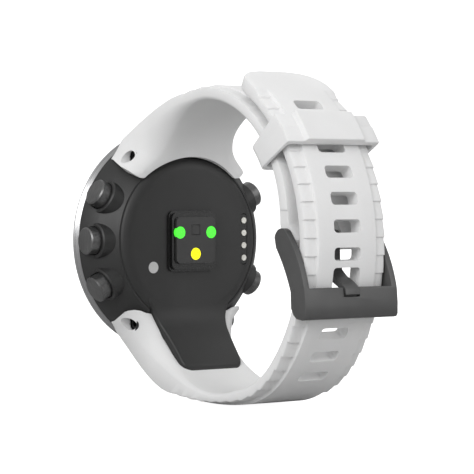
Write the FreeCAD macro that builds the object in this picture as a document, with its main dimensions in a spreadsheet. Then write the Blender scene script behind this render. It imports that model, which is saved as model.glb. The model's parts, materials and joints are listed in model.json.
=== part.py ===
# Running watch with a five-button case and a two-piece silicone strap.
# Origin: the axis of the wrist.  +Y leaves through the dial, +Z points to 12 o'clock,
# -X to 3 o'clock.  Millimetres.

import FreeCAD, Part
import Sketcher
import math
import os
from FreeCAD import Vector, Rotation, Placement

doc = FreeCAD.newDocument("running_watch")
sheet = doc.addObject("Spreadsheet::Sheet", "Sizes")

sizes = {
    # case, measured from its flat back along Y, and as radii about the dial's axis
    "wrist_to_back": 22.0,
    "case_depth": 8.0,
    "case_waist_depth": 4.4,
    "case_waist_radius": 20.3,
    "case_curve": 16.0,
    "bezel_radius": 23.0,
    "bezel_height": 4.2,
    "bezel_lip_radius": 22.3,
    "bezel_crown": 0.8,
    "bezel_face_radius": 20.6,
    "collar_radius": 19.6,
    "collar_height": 1.85,
    "cavity_radius": 17.4,
    "back_flat_radius": 14.4,
    "back_radius": 16.85,
    "cove_depth": 0.95,
    "back_skin": 1.2,
    "rim_radius": 15.3,
    "flange_depth": 2.2,
    "flange_thick": 1.0,
    "flange_radius": 13.5,
    "fit": 0.1,
    # front
    "crystal_radius": 18.9,
    "crystal_thick": 1.3,
    "ledge_radius": 17.8,
    "ledge_thick": 0.6,
    "gasket_thick": 0.3,
    "display_radius": 16.9,
    "display_thick": 1.1,
    # inside
    "carrier_radius": 14.2,
    "carrier_thick": 0.35,
    "board_depth": 6.7,
    "board_thick": 0.8,
    "board_radius": 14.6,
    "battery_width": 18.0,
    "battery_low": -7.5,
    "battery_high": 8.0,
    "battery_gap": 0.25,
    "screw_circle": 14.3,
    "screw_radius": 0.7,
    "screw_head": 1.3,
    "post_radius": 0.8,
    "motor_drop": 12.0,
    "motor_radius": 3.5,
    "motor_wall": 0.3,
    # heart-rate sensor, contacts and vent in the back
    "sensor_half": 6.0,
    "sensor_proud": 1.1,
    "window_half": 4.8,
    "window_proud": 1.66,
    "led_radius": 1.22,
    "led_spread": 3.9,
    "led_rise": 1.57,
    "amber_drop": 2.83,
    "diode_rise": 2.1,
    "diode_side": 1.9,
    "contact_offset": 13.6,
    "contact_pitch": 2.6,
    "contact_width": 1.8,
    "contact_radius": 0.62,
    "vent_offset": 9.45,
    "vent_drop": 5.5,
    "vent_radius": 1.2,
    # tongue of the back cover, below 6 o'clock
    "tongue_half": 7.7,
    "tongue_thick": 1.7,
    # buttons: all lengths run inwards from the face of the cap
    "button_depth": 5.0,
    "button_spread": 26.0,
    "face_reach_many": 22.8,
    "face_reach_pair": 22.0,
    "cap_radius": 2.75,
    "cap_length": 3.6,
    "cap_skin": 0.9,
    "cap_wall": 0.5,
    "stem_radius": 1.0,
    "stem_length": 8.6,
    "seal_depth": 5.4,
    "seal_groove": 0.25,
    "seal_floor": 0.66,
    "seal_wire": 0.2,
    "well_radius": 2.95,
    "well_floor": 4.4,
    "guard_radius": 3.6,
    "guard_depth": 2.2,
    "tube_radius": 1.45,
    "tube_top": 3.3,
    "tube_end": 7.2,
    "clip_depth": 7.4,
    "clip_thick": 0.3,
    "clip_radius": 1.4,
    "spring_radius": 1.85,
    "spring_wire": 0.16,
    # strap
    "strap_thick": 2.9,
    "strap_half": 9.8,
    "head_half": 16.5,
    "short_centre": 4.5,
    "short_lift": 3.9,
    "short_radius": 24.2,
    "tail_centre": 7.65,
    "tail_lift": -0.15,
    "tail_radius": 33.1,
    "tail_tip": 111.0,
    "slot_count": 12,
    "slot_first": 132.0,
    "slot_pitch": 5.3,
    "slot_width": 6.5,
    "slot_height": 2.5,
    "strap_screw_depth": 3.3,
    "strap_screw_rise": 17.0,
    "lug_face": 10.4,
    "bush_radius": 1.6,
    "bush_length": 1.6,
    # buckle
    "bar_depth": -22.5,
    "bar_rise": 0.9,
    "bar_radius": 0.9,
    "bar_half": 8.6,
    "eye_radius": 2.0,
    "arm_inner": 10.05,
    "arm_outer": 11.3,
    "cross_top": -8.0,
    "cross_low": -13.85,
    "cross_face": -29.65,
    "cross_back": -27.85,
    "tongue_width": 3.4,
    "prong_thick": 1.1,
    "keeper_angle": 143.5,
    "keeper_length": 6.6,
    "keeper_gap": 0.4,
    "keeper_wall": 1.3,
    "keeper_side": 0.8,
    "keeper_half": 11.3,
}


class Size:
    """A length that carries its expression in the sheet and its present value."""

    def __init__(self, text, value):
        self.text = text
        self.value = value

    def join(self, sign, other, value, swap=False):
        other_text = other.text if isinstance(other, Size) else repr(float(other))
        pair = (other_text, self.text) if swap else (self.text, other_text)
        return Size("(%s %s %s)" % (pair[0], sign, pair[1]), value)

    def __add__(self, other):
        return self.join("+", other, self.value + plain(other))

    def __radd__(self, other):
        return self.join("+", other, self.value + plain(other), True)

    def __sub__(self, other):
        return self.join("-", other, self.value - plain(other))

    def __rsub__(self, other):
        return self.join("-", other, plain(other) - self.value, True)

    def __mul__(self, other):
        return self.join("*", other, self.value * plain(other))

    def __rmul__(self, other):
        return self.join("*", other, self.value * plain(other), True)

    def __truediv__(self, other):
        return self.join("/", other, self.value / plain(other))

    def __neg__(self):
        return Size("(0 - %s)" % self.text, -self.value)


def plain(number):
    return number.value if isinstance(number, Size) else float(number)


def cosine(angle):
    return Size("cos(%s)" % angle.text, math.cos(math.radians(angle.value)))


def sine(angle):
    return Size("sin(%s)" % angle.text, math.sin(math.radians(angle.value)))


class Sheet:
    """Gives each cell of the sheet as a Size, by its alias."""

    def __getattr__(self, alias):
        return Size("Sizes." + alias, float(sheet.get(alias)))


for row, (alias, value) in enumerate(sizes.items(), start=1):
    sheet.set("A%d" % row, alias)
    sheet.set("B%d" % row, str(value))
    sheet.setAlias("B%d" % row, alias)
doc.recompute()
size = Sheet()
back = size.wrist_to_back
nodes = []


# ---------------------------------------------------------------- helpers

def bind(thing, name, amount):
    """Bind a property to the sheet, or set it when it is a plain number."""
    if isinstance(amount, Size):
        thing.setExpression(name, amount.text)
    elif "." in name:
        thing.setExpression(name, repr(float(amount)))
    else:
        setattr(thing, name, amount)


def move(thing, x=0.0, y=0.0, z=0.0):
    for axis, amount in (("x", x), ("y", y), ("z", z)):
        bind(thing, "Placement.Base." + axis, amount)
    return thing


def keep(thing, label):
    """Mark an object as a finished sub-part and name its file."""
    thing.Label = label
    nodes.append(thing)
    return thing


def box(x, y, z):
    """A block between pairs of coordinates."""
    block = doc.addObject("Part::Box", "block")
    for name, pair in (("Length", x), ("Width", y), ("Height", z)):
        bind(block, name, pair[1] - pair[0])
    return move(block, x[0], y[0], z[0])


def rod(radius, start, length, axis, x=0.0, y=0.0, z=0.0):
    """A cylinder along X or Y, from start over length, through the point given."""
    cylinder = doc.addObject("Part::Cylinder", "rod")
    bind(cylinder, "Radius", radius)
    bind(cylinder, "Height", length)
    if axis == "x":
        cylinder.Placement = Placement(Vector(), Rotation(Vector(0, 1, 0), 90))
        return move(cylinder, start, y, z)
    cylinder.Placement = Placement(Vector(), Rotation(Vector(1, 0, 0), -90))
    return move(cylinder, x, start, z)


def cut(base, *tools):
    for tool in tools:
        result = doc.addObject("Part::Cut", "cut")
        result.Base = base
        result.Tool = tool
        result.Refine = False
        base = result
    return base


def fuse(*pieces):
    result = doc.addObject("Part::MultiFuse", "fuse")
    result.Shapes = list(pieces)
    result.Refine = False
    return result


def group(*pieces):
    """Separate solids that share one node."""
    result = doc.addObject("Part::Compound", "group")
    result.Links = list(pieces)
    return result


def plane_of(body, role):
    for feature in body.Origin.OriginFeatures:
        if feature.Role == role:
            return feature
    raise ValueError(role)


def arc_middle(first, last, radius):
    """A point on the arc between two points; it bulges to the left for a negative radius."""
    middle = (first + last) * 0.5
    chord = last - first
    side = Vector(chord.y, -chord.x, 0).normalize()
    rise = abs(radius) - math.sqrt(max(radius * radius - chord.Length ** 2 / 4, 0.0))
    return middle + side * math.copysign(rise, radius)


def draw(body, role, corners):
    """A closed sketch; a corner is (u, v) or (u, v, radius of the arc to the next one)."""
    sketch = body.newObject("Sketcher::SketchObject", "outline")
    sketch.AttachmentSupport = [(plane_of(body, role), "")]
    sketch.MapMode = "FlatFace"
    points = [Vector(plain(corner[0]), plain(corner[1]), 0) for corner in corners]
    starts, ends = [], []
    for index, corner in enumerate(corners):
        first, last = points[index], points[(index + 1) % len(points)]
        if len(corner) == 2:
            edge = sketch.addGeometry(Part.LineSegment(first, last), False)
            flipped = False
        else:
            middle = arc_middle(first, last, plain(corner[2]))
            edge = sketch.addGeometry(Part.Arc(first, middle, last), False)
            flipped = sketch.getPoint(edge, 1).distanceToPoint(first) > 1e-6
        starts.append((edge, 2 if flipped else 1))
        ends.append((edge, 1 if flipped else 2))
    for index, corner in enumerate(corners):
        following = (index + 1) % len(corners)
        pin(sketch, "Coincident", *ends[index], *starts[following])
        pin(sketch, "DistanceX", -1, 1, *starts[index], amount=corner[0])
        pin(sketch, "DistanceY", -1, 1, *starts[index], amount=corner[1])
        if len(corner) == 3:
            size_of_arc = corner[2] if plain(corner[2]) > 0 else -1 * corner[2]
            pin(sketch, "Radius", starts[index][0], amount=size_of_arc)
    return sketch


def pin(sketch, kind, *where, amount=None):
    if amount is None:
        sketch.addConstraint(Sketcher.Constraint(kind, *where))
        return
    number = sketch.addConstraint(Sketcher.Constraint(kind, *where, plain(amount)))
    if isinstance(amount, Size):
        sketch.setExpression("Constraints[%d]" % number, amount.text)


def turned(corners, axis="V_Axis", angle=360.0):
    """A body turned about Y (corners are radius, y) or about X (corners are x, radius)."""
    body = doc.addObject("PartDesign::Body", "turned")
    sketch = draw(body, "XY_Plane", corners)
    turn = body.newObject("PartDesign::Revolution", "turn")
    turn.Profile = sketch
    turn.ReferenceAxis = (sketch, [axis])
    turn.Angle = angle
    return body


def side_plate(corners, half):
    """A body with the side outline (y, z), as thick as twice half, about X = 0."""
    body = doc.addObject("PartDesign::Body", "side_plate")
    sketch = draw(body, "YZ_Plane", corners)
    pad = body.newObject("PartDesign::Pad", "pad")
    pad.Profile = sketch
    pad.SideType = "Symmetric"
    bind(pad, "Length", 2 * half)
    return body


def flat_plate(corners, start, thick):
    """A body with the outline (x, z) that starts at y = start and grows along +Y."""
    body = doc.addObject("PartDesign::Body", "flat_plate")
    sketch = draw(body, "XZ_Plane", corners)
    pad = body.newObject("PartDesign::Pad", "pad")
    pad.Profile = sketch
    pad.Reversed = True
    bind(pad, "Length", thick)
    return move(body, 0.0, start, 0.0)


def rounded(half_x, low, high, corner):
    """Outline of a rounded rectangle, symmetric about x = 0."""
    return [
        (half_x, low + corner), (half_x, high - corner, corner),
        (half_x - corner, high), (corner - half_x, high, corner),
        (-half_x, high - corner), (-half_x, low + corner, corner),
        (corner - half_x, low), (half_x - corner, low, corner),
    ]


def seat(thing, angle, reach):
    """Lay a piece that was made along X on a button's axis, with x = 0 at the cap's face."""
    thing.Placement = Placement(Vector(), Rotation(Vector(0, 1, 0), -angle.value))
    return move(thing, reach * cosine(angle), back + size.button_depth, reach * sine(angle))


def coil(radius, wire, pitch, height):
    """A helical spring along +Z; its round section stands square to the wire."""
    helix = doc.addObject("Part::Helix", "helix")
    bind(helix, "Radius", radius)
    bind(helix, "Pitch", pitch)
    bind(helix, "Height", height)
    helix.SegmentLength = 1.0
    section = doc.addObject("Part::Circle", "section")
    bind(section, "Radius", wire)
    slope = math.degrees(math.atan2(plain(pitch), 2 * math.pi * plain(radius)))
    section.Placement = Placement(Vector(), Rotation(Vector(1, 0, 0), 90 + slope))
    move(section, radius, 0.0, 0.0)
    sweep = doc.addObject("Part::Sweep", "coil")
    sweep.Sections = [section]
    sweep.Spine = (helix, [])
    sweep.Solid = True
    sweep.Frenet = True
    return sweep


# ---------------------------------------------------------------- buttons

many = size.face_reach_many
pair = size.face_reach_pair
straight = Size("180", 180.0)
buttons = [
    ("light", straight - size.button_spread, many),
    ("up", straight, many),
    ("down", straight + size.button_spread, many),
    ("start", size.button_spread, pair),
    ("back", -size.button_spread, pair),
]


def button_cap():
    """A cup-shaped cap with its stem, turned from one bar."""
    return turned([
        (-size.stem_length, 0.0), (0.0, 0.0), (0.0, size.cap_radius - 0.25),
        (-0.25, size.cap_radius), (-size.cap_length, size.cap_radius),
        (-size.cap_length, size.cap_radius - size.cap_wall),
        (-size.cap_skin, size.cap_radius - size.cap_wall),
        (-size.cap_skin, size.stem_radius),
        (-size.seal_depth + size.seal_groove, size.stem_radius),
        (-size.seal_depth + size.seal_groove, size.seal_floor),
        (-size.seal_depth - size.seal_groove, size.seal_floor),
        (-size.seal_depth - size.seal_groove, size.stem_radius),
        (-size.clip_depth, size.stem_radius),
        (-size.clip_depth, size.stem_radius - 0.35),
        (-size.clip_depth - size.clip_thick, size.stem_radius - 0.35),
        (-size.clip_depth - size.clip_thick, size.stem_radius - 0.2),
        (-size.stem_length + 0.3, size.stem_radius - 0.4),
        (-size.stem_length, size.stem_radius - 0.6),
    ], "H_Axis")


def button_seal():
    """An O-ring in the groove of the stem, halfway along the tube."""
    ring = doc.addObject("Part::Torus", "ring")
    bind(ring, "Radius1", size.seal_floor + size.seal_wire + 0.01)
    bind(ring, "Radius2", size.seal_wire)
    ring.Placement = Placement(Vector(), Rotation(Vector(0, 1, 0), 90))
    return group(move(ring, -size.seal_depth))


def button_clip():
    """An E-shaped clip in the groove at the inner end of the stem."""
    disc = rod(size.clip_radius, -size.clip_depth - size.clip_thick, size.clip_thick, "x")
    hole = rod(size.stem_radius - 0.35, -size.clip_depth - 1.0, 2.0, "x")
    mouth = box((-size.clip_depth - 1.0, -size.clip_depth + 1.0), (-0.5, 0.5), (-3.0, 0.0))
    return group(cut(disc, hole, mouth))


def button_spring():
    """A coil between the floor of the well and the inside of the cap."""
    length = size.well_floor - size.cap_skin
    gap = size.spring_wire + 0.05
    spring = coil(size.spring_radius, size.spring_wire, (length - 2 * gap) / 4, length - 2 * gap)
    turned_coil = group(spring)
    turned_coil.Placement = Placement(Vector(), Rotation(Vector(0, 1, 0), 90))
    bind(turned_coil, "Placement.Base.x", gap - size.well_floor)
    return group(turned_coil)


def button_tube():
    """The sleeve that guides the stem through the wall of the case."""
    return turned([
        (-size.tube_end, size.stem_radius + 0.1), (-size.tube_top, size.stem_radius + 0.1),
        (-size.tube_top, size.tube_radius), (-size.tube_end, size.tube_radius),
    ], "H_Axis")


def button_switch():
    """The side-push switch that hangs from the board; its bore takes the end of the stem."""
    near = -size.stem_length + 0.1
    body = box((near - 1.7, near), (-1.3, size.board_depth - size.button_depth), (-1.6, 1.6))
    bore = rod(size.stem_radius - 0.2, near - 1.0, 1.4, "x")
    return group(cut(body, bore))


def guard(reach):
    """The round boss on the case that stands about a cap."""
    return turned([
        (size.cavity_radius - reach, 0.0), (-size.guard_depth, 0.0),
        (-size.guard_depth, size.guard_radius - 0.25),
        (-size.guard_depth - 0.25, size.guard_radius),
        (size.cavity_radius - reach, size.guard_radius),
    ], "H_Axis")


def inner_boss():
    """The boss inside the case that holds the inner end of a tube."""
    return rod(size.tube_radius + 0.7, -size.tube_end, size.tube_end - size.well_floor - 0.2, "x")


def well():
    """The room for a cap, and the bore below it for the tube."""
    return turned([
        (-size.tube_end - 0.5, 0.0), (2.0, 0.0), (2.0, size.well_radius),
        (-size.well_floor, size.well_radius), (-size.well_floor, size.tube_radius + 0.02),
        (-size.tube_end - 0.5, size.tube_radius + 0.02),
    ], "H_Axis")


tubes, switches, guards, bosses, wells = [], [], [], [], []
for name, angle, reach in buttons:
    keep(seat(button_cap(), angle, reach), name + "_button")
    keep(seat(button_seal(), angle, reach), name + "_button_seal")
    keep(seat(button_clip(), angle, reach), name + "_button_clip")
    keep(seat(button_spring(), angle, reach), name + "_button_spring")
    tubes.append(seat(button_tube(), angle, reach))
    switches.append(seat(button_switch(), angle, reach))
    guards.append(seat(guard(reach), angle, reach))
    bosses.append(seat(group(inner_boss()), angle, reach))
    wells.append(seat(well(), angle, reach))
keep(group(*tubes), "button_tubes")
keep(group(*switches), "button_switches")


# ---------------------------------------------------------------- case

bezel_seat = back + size.case_depth
bezel_top = bezel_seat + size.bezel_height
ledge_low = bezel_seat + size.collar_height + 0.05
crystal_back = ledge_low + size.ledge_thick
flange_low = back + size.flange_depth
flange_top = flange_low + size.flange_thick
carrier_top = flange_top + size.carrier_thick
board_low = back + size.board_depth
screw_y = back + size.strap_screw_depth


def bowl(room, top):
    """The outside of the case wall, grown by room, with its seam against the back cover."""
    return [
        (size.back_radius + 0.45 + room, back + size.cove_depth),
        (size.case_waist_radius + room, back + size.case_waist_depth, size.case_curve),
        (size.bezel_lip_radius - 0.1 + room, top),
    ]


def lug_post(side, rise):
    """A round post on the case wall, inside the strap, that takes a strap screw."""
    start = size.lug_face - 4.4 if side > 0 else -size.lug_face
    return rod(2.0, start, 4.4, "x", y=screw_y, z=rise)


def screw_bed(side, rise):
    """The room beside a lug post for the bush and the head of its screw."""
    start = size.lug_face if side > 0 else -size.lug_face - 8.0
    return rod(size.bush_radius + size.fit, start, 8.0, "x", y=screw_y, z=rise)


def screw_spots():
    for side in (1, -1):
        yield side, size.strap_screw_rise
        yield side, -size.strap_screw_rise


def make_mid_case():
    shell = turned([(size.back_radius + size.fit, back + size.cove_depth)] + bowl(0.0, bezel_seat) + [
        (size.collar_radius, bezel_seat), (size.collar_radius, bezel_seat + size.collar_height),
        (size.cavity_radius, bezel_seat + size.collar_height), (size.cavity_radius, flange_top),
        (size.flange_radius, flange_top), (size.flange_radius, flange_low),
        (size.back_radius + size.fit, flange_low),
    ])
    posts = [lug_post(side, rise) for side, rise in screw_spots()]
    cavity = rod(size.cavity_radius, flange_top, bezel_seat - flange_top, "y")
    below = rod(size.back_radius + size.fit, back - 4.0, flange_low - back + 4.0, "y")
    outside = cut(fuse(shell, *guards, *posts), cavity, below)
    threads = [rod(0.75, 6.3 if side > 0 else -11.3, 5.0, "x", y=screw_y, z=rise)
               for side, rise in screw_spots()]
    beds = [screw_bed(side, rise) for side, rise in screw_spots()]
    notch = box((-9.6, 9.6), (back - 1.0, back + 1.45), (-19.5, -14.0))
    fixings = [rod(size.screw_radius + 0.05, flange_low - 0.5, 2.0, "y", x=x, z=z)
               for x, z in screw_places()]
    above = turned([
        (size.collar_radius, bezel_seat), (size.bezel_radius + 3.0, bezel_seat),
        (size.bezel_radius + 3.0, bezel_top), (size.collar_radius, bezel_top),
    ])
    return cut(fuse(outside, *bosses), *wells, *threads, *beds, notch, above, *fixings)


def screw_places():
    reach = size.screw_circle * math.sqrt(0.5)
    return [(reach, reach), (-reach, reach), (-reach, -reach), (reach, -reach)]


def tongue_plate(room):
    """The tongue below 6 o'clock; room grows it, to cut its bed in the strap."""
    side = side_plate([
        (back, -14.0 + room), (back - room, -16.0 + room),
        (back - 0.4 - room, -16.6, 24.0), (back - 8.7 - room, -25.7 - room),
        (back - 8.7 + size.tongue_thick * 0.7 + room, -25.7 - size.tongue_thick * 0.72 - room, -25.0),
        (back + 1.25 + room, -17.1 - room), (back + 1.25 + room, -14.0 + room),
    ], size.tongue_half + 3.0)
    half = size.tongue_half + room
    outline = flat_plate([
        (half + 1.6, -13.5), (-half - 1.6, -13.5), (-half - 1.2, -16.0), (-half - 0.2, -19.0),
        (-half + 0.2, -24.6 - room, 2.4), (-half + 2.6, -27.0 - room),
        (half - 2.6, -27.0 - room, 2.4), (half - 0.2, -24.6 - room),
        (half + 0.2, -19.0), (half + 1.2, -16.0),
    ], back - 14.0, 18.0)
    common = doc.addObject("Part::MultiCommon", "tongue")
    common.Shapes = [side, outline]
    return common


def make_back_cover():
    rim_top = flange_low - 0.05
    groove = size.back_radius - 0.3
    dish = turned([
        (0.0, back), (size.back_flat_radius, back, 4.2),
        (size.back_radius, back + size.cove_depth), (size.back_radius, rim_top),
        (groove, rim_top), (groove, back + 1.5), (groove - 0.65, back + 1.5),
        (groove - 0.65, rim_top), (size.rim_radius, rim_top),
        (size.rim_radius, back + size.back_skin), (0.0, back + size.back_skin),
    ])
    pillars = [rod(1.4, back + size.back_skin - 0.2, rim_top - back - size.back_skin + 0.2, "y", x=x, z=z)
               for x, z in screw_places()]
    threads = [rod(size.screw_radius, back + 0.7, 2.0, "y", x=x, z=z) for x, z in screw_places()]
    window = flat_plate(rounded(size.sensor_half - 0.7, -5.4, 5.0, 0.8), back - 1.0, 4.0)
    contacts = flat_plate(slot_outline(0.0), back - 1.0, 4.0)
    vent = rod(size.vent_radius, back - 1.0, 4.0, "y", x=-size.vent_offset, z=-size.vent_drop)
    under = rod(size.rim_radius, back + size.back_skin, 3.0, "y")
    tongue = cut(tongue_plate(0.0), under)
    return cut(fuse(dish, *pillars, tongue), window, contacts, vent, *threads)


def slot_outline(inset):
    """Rounded slot of the charging contacts."""
    half = size.contact_width / 2 - inset
    reach = 1.5 * size.contact_pitch + 0.6
    left, right = size.contact_offset - half, size.contact_offset + half
    return [(right, -reach), (right, reach, half * 1.02), (left, reach), (left, -reach, half * 1.02)]


keep(make_mid_case(), "mid_case")
keep(make_back_cover(), "back_cover")
keep(turned([
    (size.back_radius - 0.92, back + 1.53), (size.back_radius - 0.33, back + 1.53),
    (size.back_radius - 0.33, flange_low - 0.02), (size.back_radius - 0.92, flange_low - 0.02),
]), "back_gasket")


def make_back_screws():
    screws = []
    for x, z in screw_places():
        shank = rod(size.screw_radius - 0.03, back + 0.8, flange_top - back - 0.7, "y", x=x, z=z)
        head = rod(size.screw_head, flange_top + 0.01, 0.6, "y", x=x, z=z)
        recess = rod(0.45, flange_top + 0.25, 1.0, "y", x=x, z=z)
        screws.append(cut(fuse(shank, head), recess))
    return group(*screws)


keep(make_back_screws(), "back_screws")

bezel_bore = size.crystal_radius + size.gasket_thick + size.fit
keep(turned([
    (size.collar_radius + size.fit, bezel_seat), (size.bezel_lip_radius, bezel_seat),
    (size.bezel_radius, bezel_seat + size.bezel_crown),
    (size.bezel_radius - 0.15, bezel_seat + size.bezel_crown + 0.5),
    (size.bezel_face_radius, bezel_top - 0.25), (size.bezel_face_radius - 0.4, bezel_top),
    (bezel_bore + 0.25, bezel_top), (bezel_bore, bezel_top - 0.25), (bezel_bore, crystal_back),
    (size.ledge_radius, crystal_back), (size.ledge_radius, ledge_low),
    (size.collar_radius + size.fit, ledge_low),
]), "bezel")
crystal_top = crystal_back + size.crystal_thick
keep(turned([
    (0.0, crystal_back), (size.crystal_radius, crystal_back),
    (size.crystal_radius, crystal_top - 0.2), (size.crystal_radius - 0.2, crystal_top),
    (0.0, crystal_top),
]), "crystal")
keep(turned([
    (size.crystal_radius + 0.05, crystal_back), (size.crystal_radius + size.gasket_thick, crystal_back),
    (size.crystal_radius + size.gasket_thick, crystal_top - 0.3),
    (size.crystal_radius + 0.05, crystal_top - 0.3),
]), "crystal_gasket")
display_back = crystal_back - size.display_thick
keep(turned([
    (0.0, display_back), (size.display_radius, display_back),
    (size.display_radius, crystal_back - 0.02), (0.0, crystal_back - 0.02),
]), "display_panel")
keep(turned([
    (size.display_radius + 0.05, crystal_back - 0.5), (size.ledge_radius - 0.05, crystal_back - 0.5),
    (size.ledge_radius - 0.05, crystal_back - 0.02), (size.display_radius + 0.05, crystal_back - 0.02),
]), "dial_ring")


# ---------------------------------------------------------------- inside

post_places = [(6.2, 12.0), (-6.2, 12.0), (5.6, -12.2), (-5.6, -12.2)]


def make_carrier():
    plate = rod(size.carrier_radius, flange_top + 0.01, size.carrier_thick - 0.01, "y")
    notches = [rod(size.screw_head + 0.15, flange_top - 1.0, 3.0, "y", x=x, z=z)
               for x, z in screw_places()]
    half = size.battery_width / 2 + 0.15
    outer = box((-half - 0.5, half + 0.5), (carrier_top - 0.1, carrier_top + 1.2),
                (size.battery_low - 0.65, size.battery_high + 0.65))
    inner = box((-half, half), (carrier_top, carrier_top + 3.0),
                (size.battery_low - 0.15, size.battery_high + 0.15))
    posts = [rod(size.post_radius, carrier_top - 0.1, board_low - carrier_top + 0.1, "y", x=x, z=z)
             for x, z in post_places]
    pegs = [rod(0.45, board_low - 0.2, size.board_thick + 0.3, "y", x=x, z=z) for x, z in post_places]
    return fuse(cut(plate, *notches), cut(outer, inner), *posts, *pegs)


def make_board():
    board = rod(size.board_radius, board_low + 0.01, size.board_thick, "y")
    holes = [rod(0.5, board_low - 1.0, 3.0, "y", x=x, z=z) for x, z in post_places]
    return cut(board, *holes)


def make_chips():
    top = board_low + size.board_thick + 0.01
    places = [(-8.0, -1.0, -2.5, 4.0, 1.0), (1.0, 6.5, -1.5, 3.5, 0.9), (-5.0, 0.5, -9.0, -5.5, 0.8),
              (3.0, 8.5, -8.5, -4.5, 1.1), (-9.5, -6.5, 6.0, 8.5, 0.6), (2.0, 4.5, 7.0, 9.5, 0.7)]
    return group(*[box((x0, x1), (top, top + tall), (z0, z1)) for x0, x1, z0, z1, tall in places])


keep(make_carrier(), "carrier_frame")
keep(make_board(), "main_board")
keep(make_chips(), "board_chips")
keep(box((-size.battery_width / 2, size.battery_width / 2),
         (carrier_top + 0.02, board_low - size.battery_gap),
         (size.battery_low, size.battery_high)), "battery")

motor_low = carrier_top + 0.02
motor_top = board_low - 0.2
motor_inner = size.motor_radius - size.motor_wall


def make_motor_case():
    outer = rod(size.motor_radius, motor_low, motor_top - motor_low, "y", z=-size.motor_drop)
    inner = rod(motor_inner, motor_low + size.motor_wall,
                motor_top - motor_low - 2 * size.motor_wall, "y", z=-size.motor_drop)
    return cut(outer, inner)


def make_motor_weight():
    half = rod(motor_inner - 0.3, motor_low + 0.9, 1.1, "y", z=-size.motor_drop)
    reach = size.motor_radius
    waste = box((-reach, reach), (motor_low, motor_top), (-size.motor_drop, reach - size.motor_drop))
    hub = rod(0.8, motor_low + 0.9, 1.1, "y", z=-size.motor_drop)
    bore = rod(0.4, motor_low, 4.0, "y", z=-size.motor_drop)
    return cut(fuse(cut(half, waste), hub), bore)


keep(make_motor_case(), "motor_case")
keep(rod(0.3, motor_low + size.motor_wall + 0.01,
         motor_top - motor_low - 2 * size.motor_wall - 0.02, "y", z=-size.motor_drop), "motor_shaft")
keep(make_motor_weight(), "motor_weight")


def make_antenna():
    """A flexible strip on the cavity wall, round the side of 12 o'clock."""
    low = board_low + size.board_thick + 0.3
    strip = turned([
        (size.cavity_radius - 0.35, low), (size.cavity_radius - 0.05, low),
        (size.cavity_radius - 0.05, low + 1.6), (size.cavity_radius - 0.35, low + 1.6),
    ], angle=140.0)
    strip.Placement = Placement(Vector(), Rotation(Vector(0, 1, 0), -20))
    return group(strip)


keep(make_antenna(), "gps_antenna")
keep(rod(3.3, back + size.back_skin + 0.01, 0.45, "y", z=9.6), "beeper_disc")


# ---------------------------------------------------------------- back fittings

led_places = [(size.led_spread, size.led_rise), (-size.led_spread, size.led_rise)]
amber_place = (0.0, -size.amber_drop)
window_face = back - size.window_proud
board_face = back + size.back_skin + 0.1


def make_sensor_frame():
    step = 0.45
    low, high = -size.sensor_half - 0.45, size.sensor_half
    foot = flat_plate(rounded(size.sensor_half, low, high, 1.3), back - 0.5, 0.5)
    ramp = flat_plate(rounded(size.sensor_half - step, low + step, high - step, 1.1),
                      back - size.sensor_proud, size.sensor_proud)
    neck = flat_plate(rounded(size.sensor_half - 0.75, -5.35, 4.95, 0.7), back, size.back_skin + 0.08)
    bed = flat_plate(rounded(size.window_half, -size.window_half, size.window_half, 1.0),
                     back - 3.0, 2.6)
    pipes = [rod(size.led_radius + 0.02, back - 3.0, 6.0, "y", x=x, z=z)
             for x, z in led_places + [amber_place]]
    return cut(fuse(foot, ramp, neck), bed, diode_box(0.03), *pipes)


def diode_box(room):
    half = size.diode_side / 2 + room
    return box((-half, half), (window_face - room + 0.02, board_face),
               (size.diode_rise - half, size.diode_rise + half))


def make_window():
    plate = flat_plate(rounded(size.window_half - 0.03, 0.03 - size.window_half, size.window_half - 0.03, 1.0),
                       window_face, size.window_proud - 0.42)
    pipes = [rod(size.led_radius + 0.02, back - 3.0, 6.0, "y", x=x, z=z)
             for x, z in led_places + [amber_place]]
    return cut(plate, diode_box(0.1), *pipes)


def light_pipe(place):
    return rod(size.led_radius, window_face, board_face - window_face, "y", x=place[0], z=place[1])


keep(make_sensor_frame(), "sensor_frame")
keep(make_window(), "sensor_window")
keep(group(*[light_pipe(place) for place in led_places]), "green_leds")
keep(light_pipe(amber_place), "amber_led")
keep(diode_box(0.0), "photodiode")
keep(flat_plate(rounded(5.0, -5.0, 4.7, 0.5), board_face + 0.01, 0.6), "sensor_board")


def contact_pins():
    for step in (-1.5, -0.5, 0.5, 1.5):
        yield rod(size.contact_radius, back - 0.06, 1.9, "y",
                  x=size.contact_offset, z=step * size.contact_pitch)


def make_contact_insert():
    plug = flat_plate(slot_outline(0.02), back + 0.12, size.back_skin - 0.1)
    bores = [rod(size.contact_radius + 0.01, back - 3.0, 6.0, "y", x=size.contact_offset,
                 z=step * size.contact_pitch) for step in (-1.5, -0.5, 0.5, 1.5)]
    return cut(plug, *bores)


keep(make_contact_insert(), "contact_insert")
keep(group(*contact_pins()), "charge_pins")
keep(rod(size.vent_radius - 0.03, back - 0.05, size.back_skin, "y",
         x=-size.vent_offset, z=-size.vent_drop), "vent_plug")


# ---------------------------------------------------------------- strap

def polar(centre, radius, angle):
    turn = math.radians(angle)
    return Vector(0, centre.y + radius * math.cos(turn), centre.z + radius * math.sin(turn))


def arc(centre, radius, first, last):
    """Arc in the side view, from one angle to another, in degrees from +Y towards +Z."""
    return Part.Arc(polar(centre, radius, first), polar(centre, radius, (first + last) / 2),
                    polar(centre, radius, last))


def slab(edges, half):
    """A solid from a closed side outline, symmetric about X = 0."""
    face = Part.Face(Part.Wire([edge.toShape() for edge in edges]))
    face.translate(Vector(-half, 0, 0))
    return face.extrude(Vector(2 * half, 0, 0))


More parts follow.
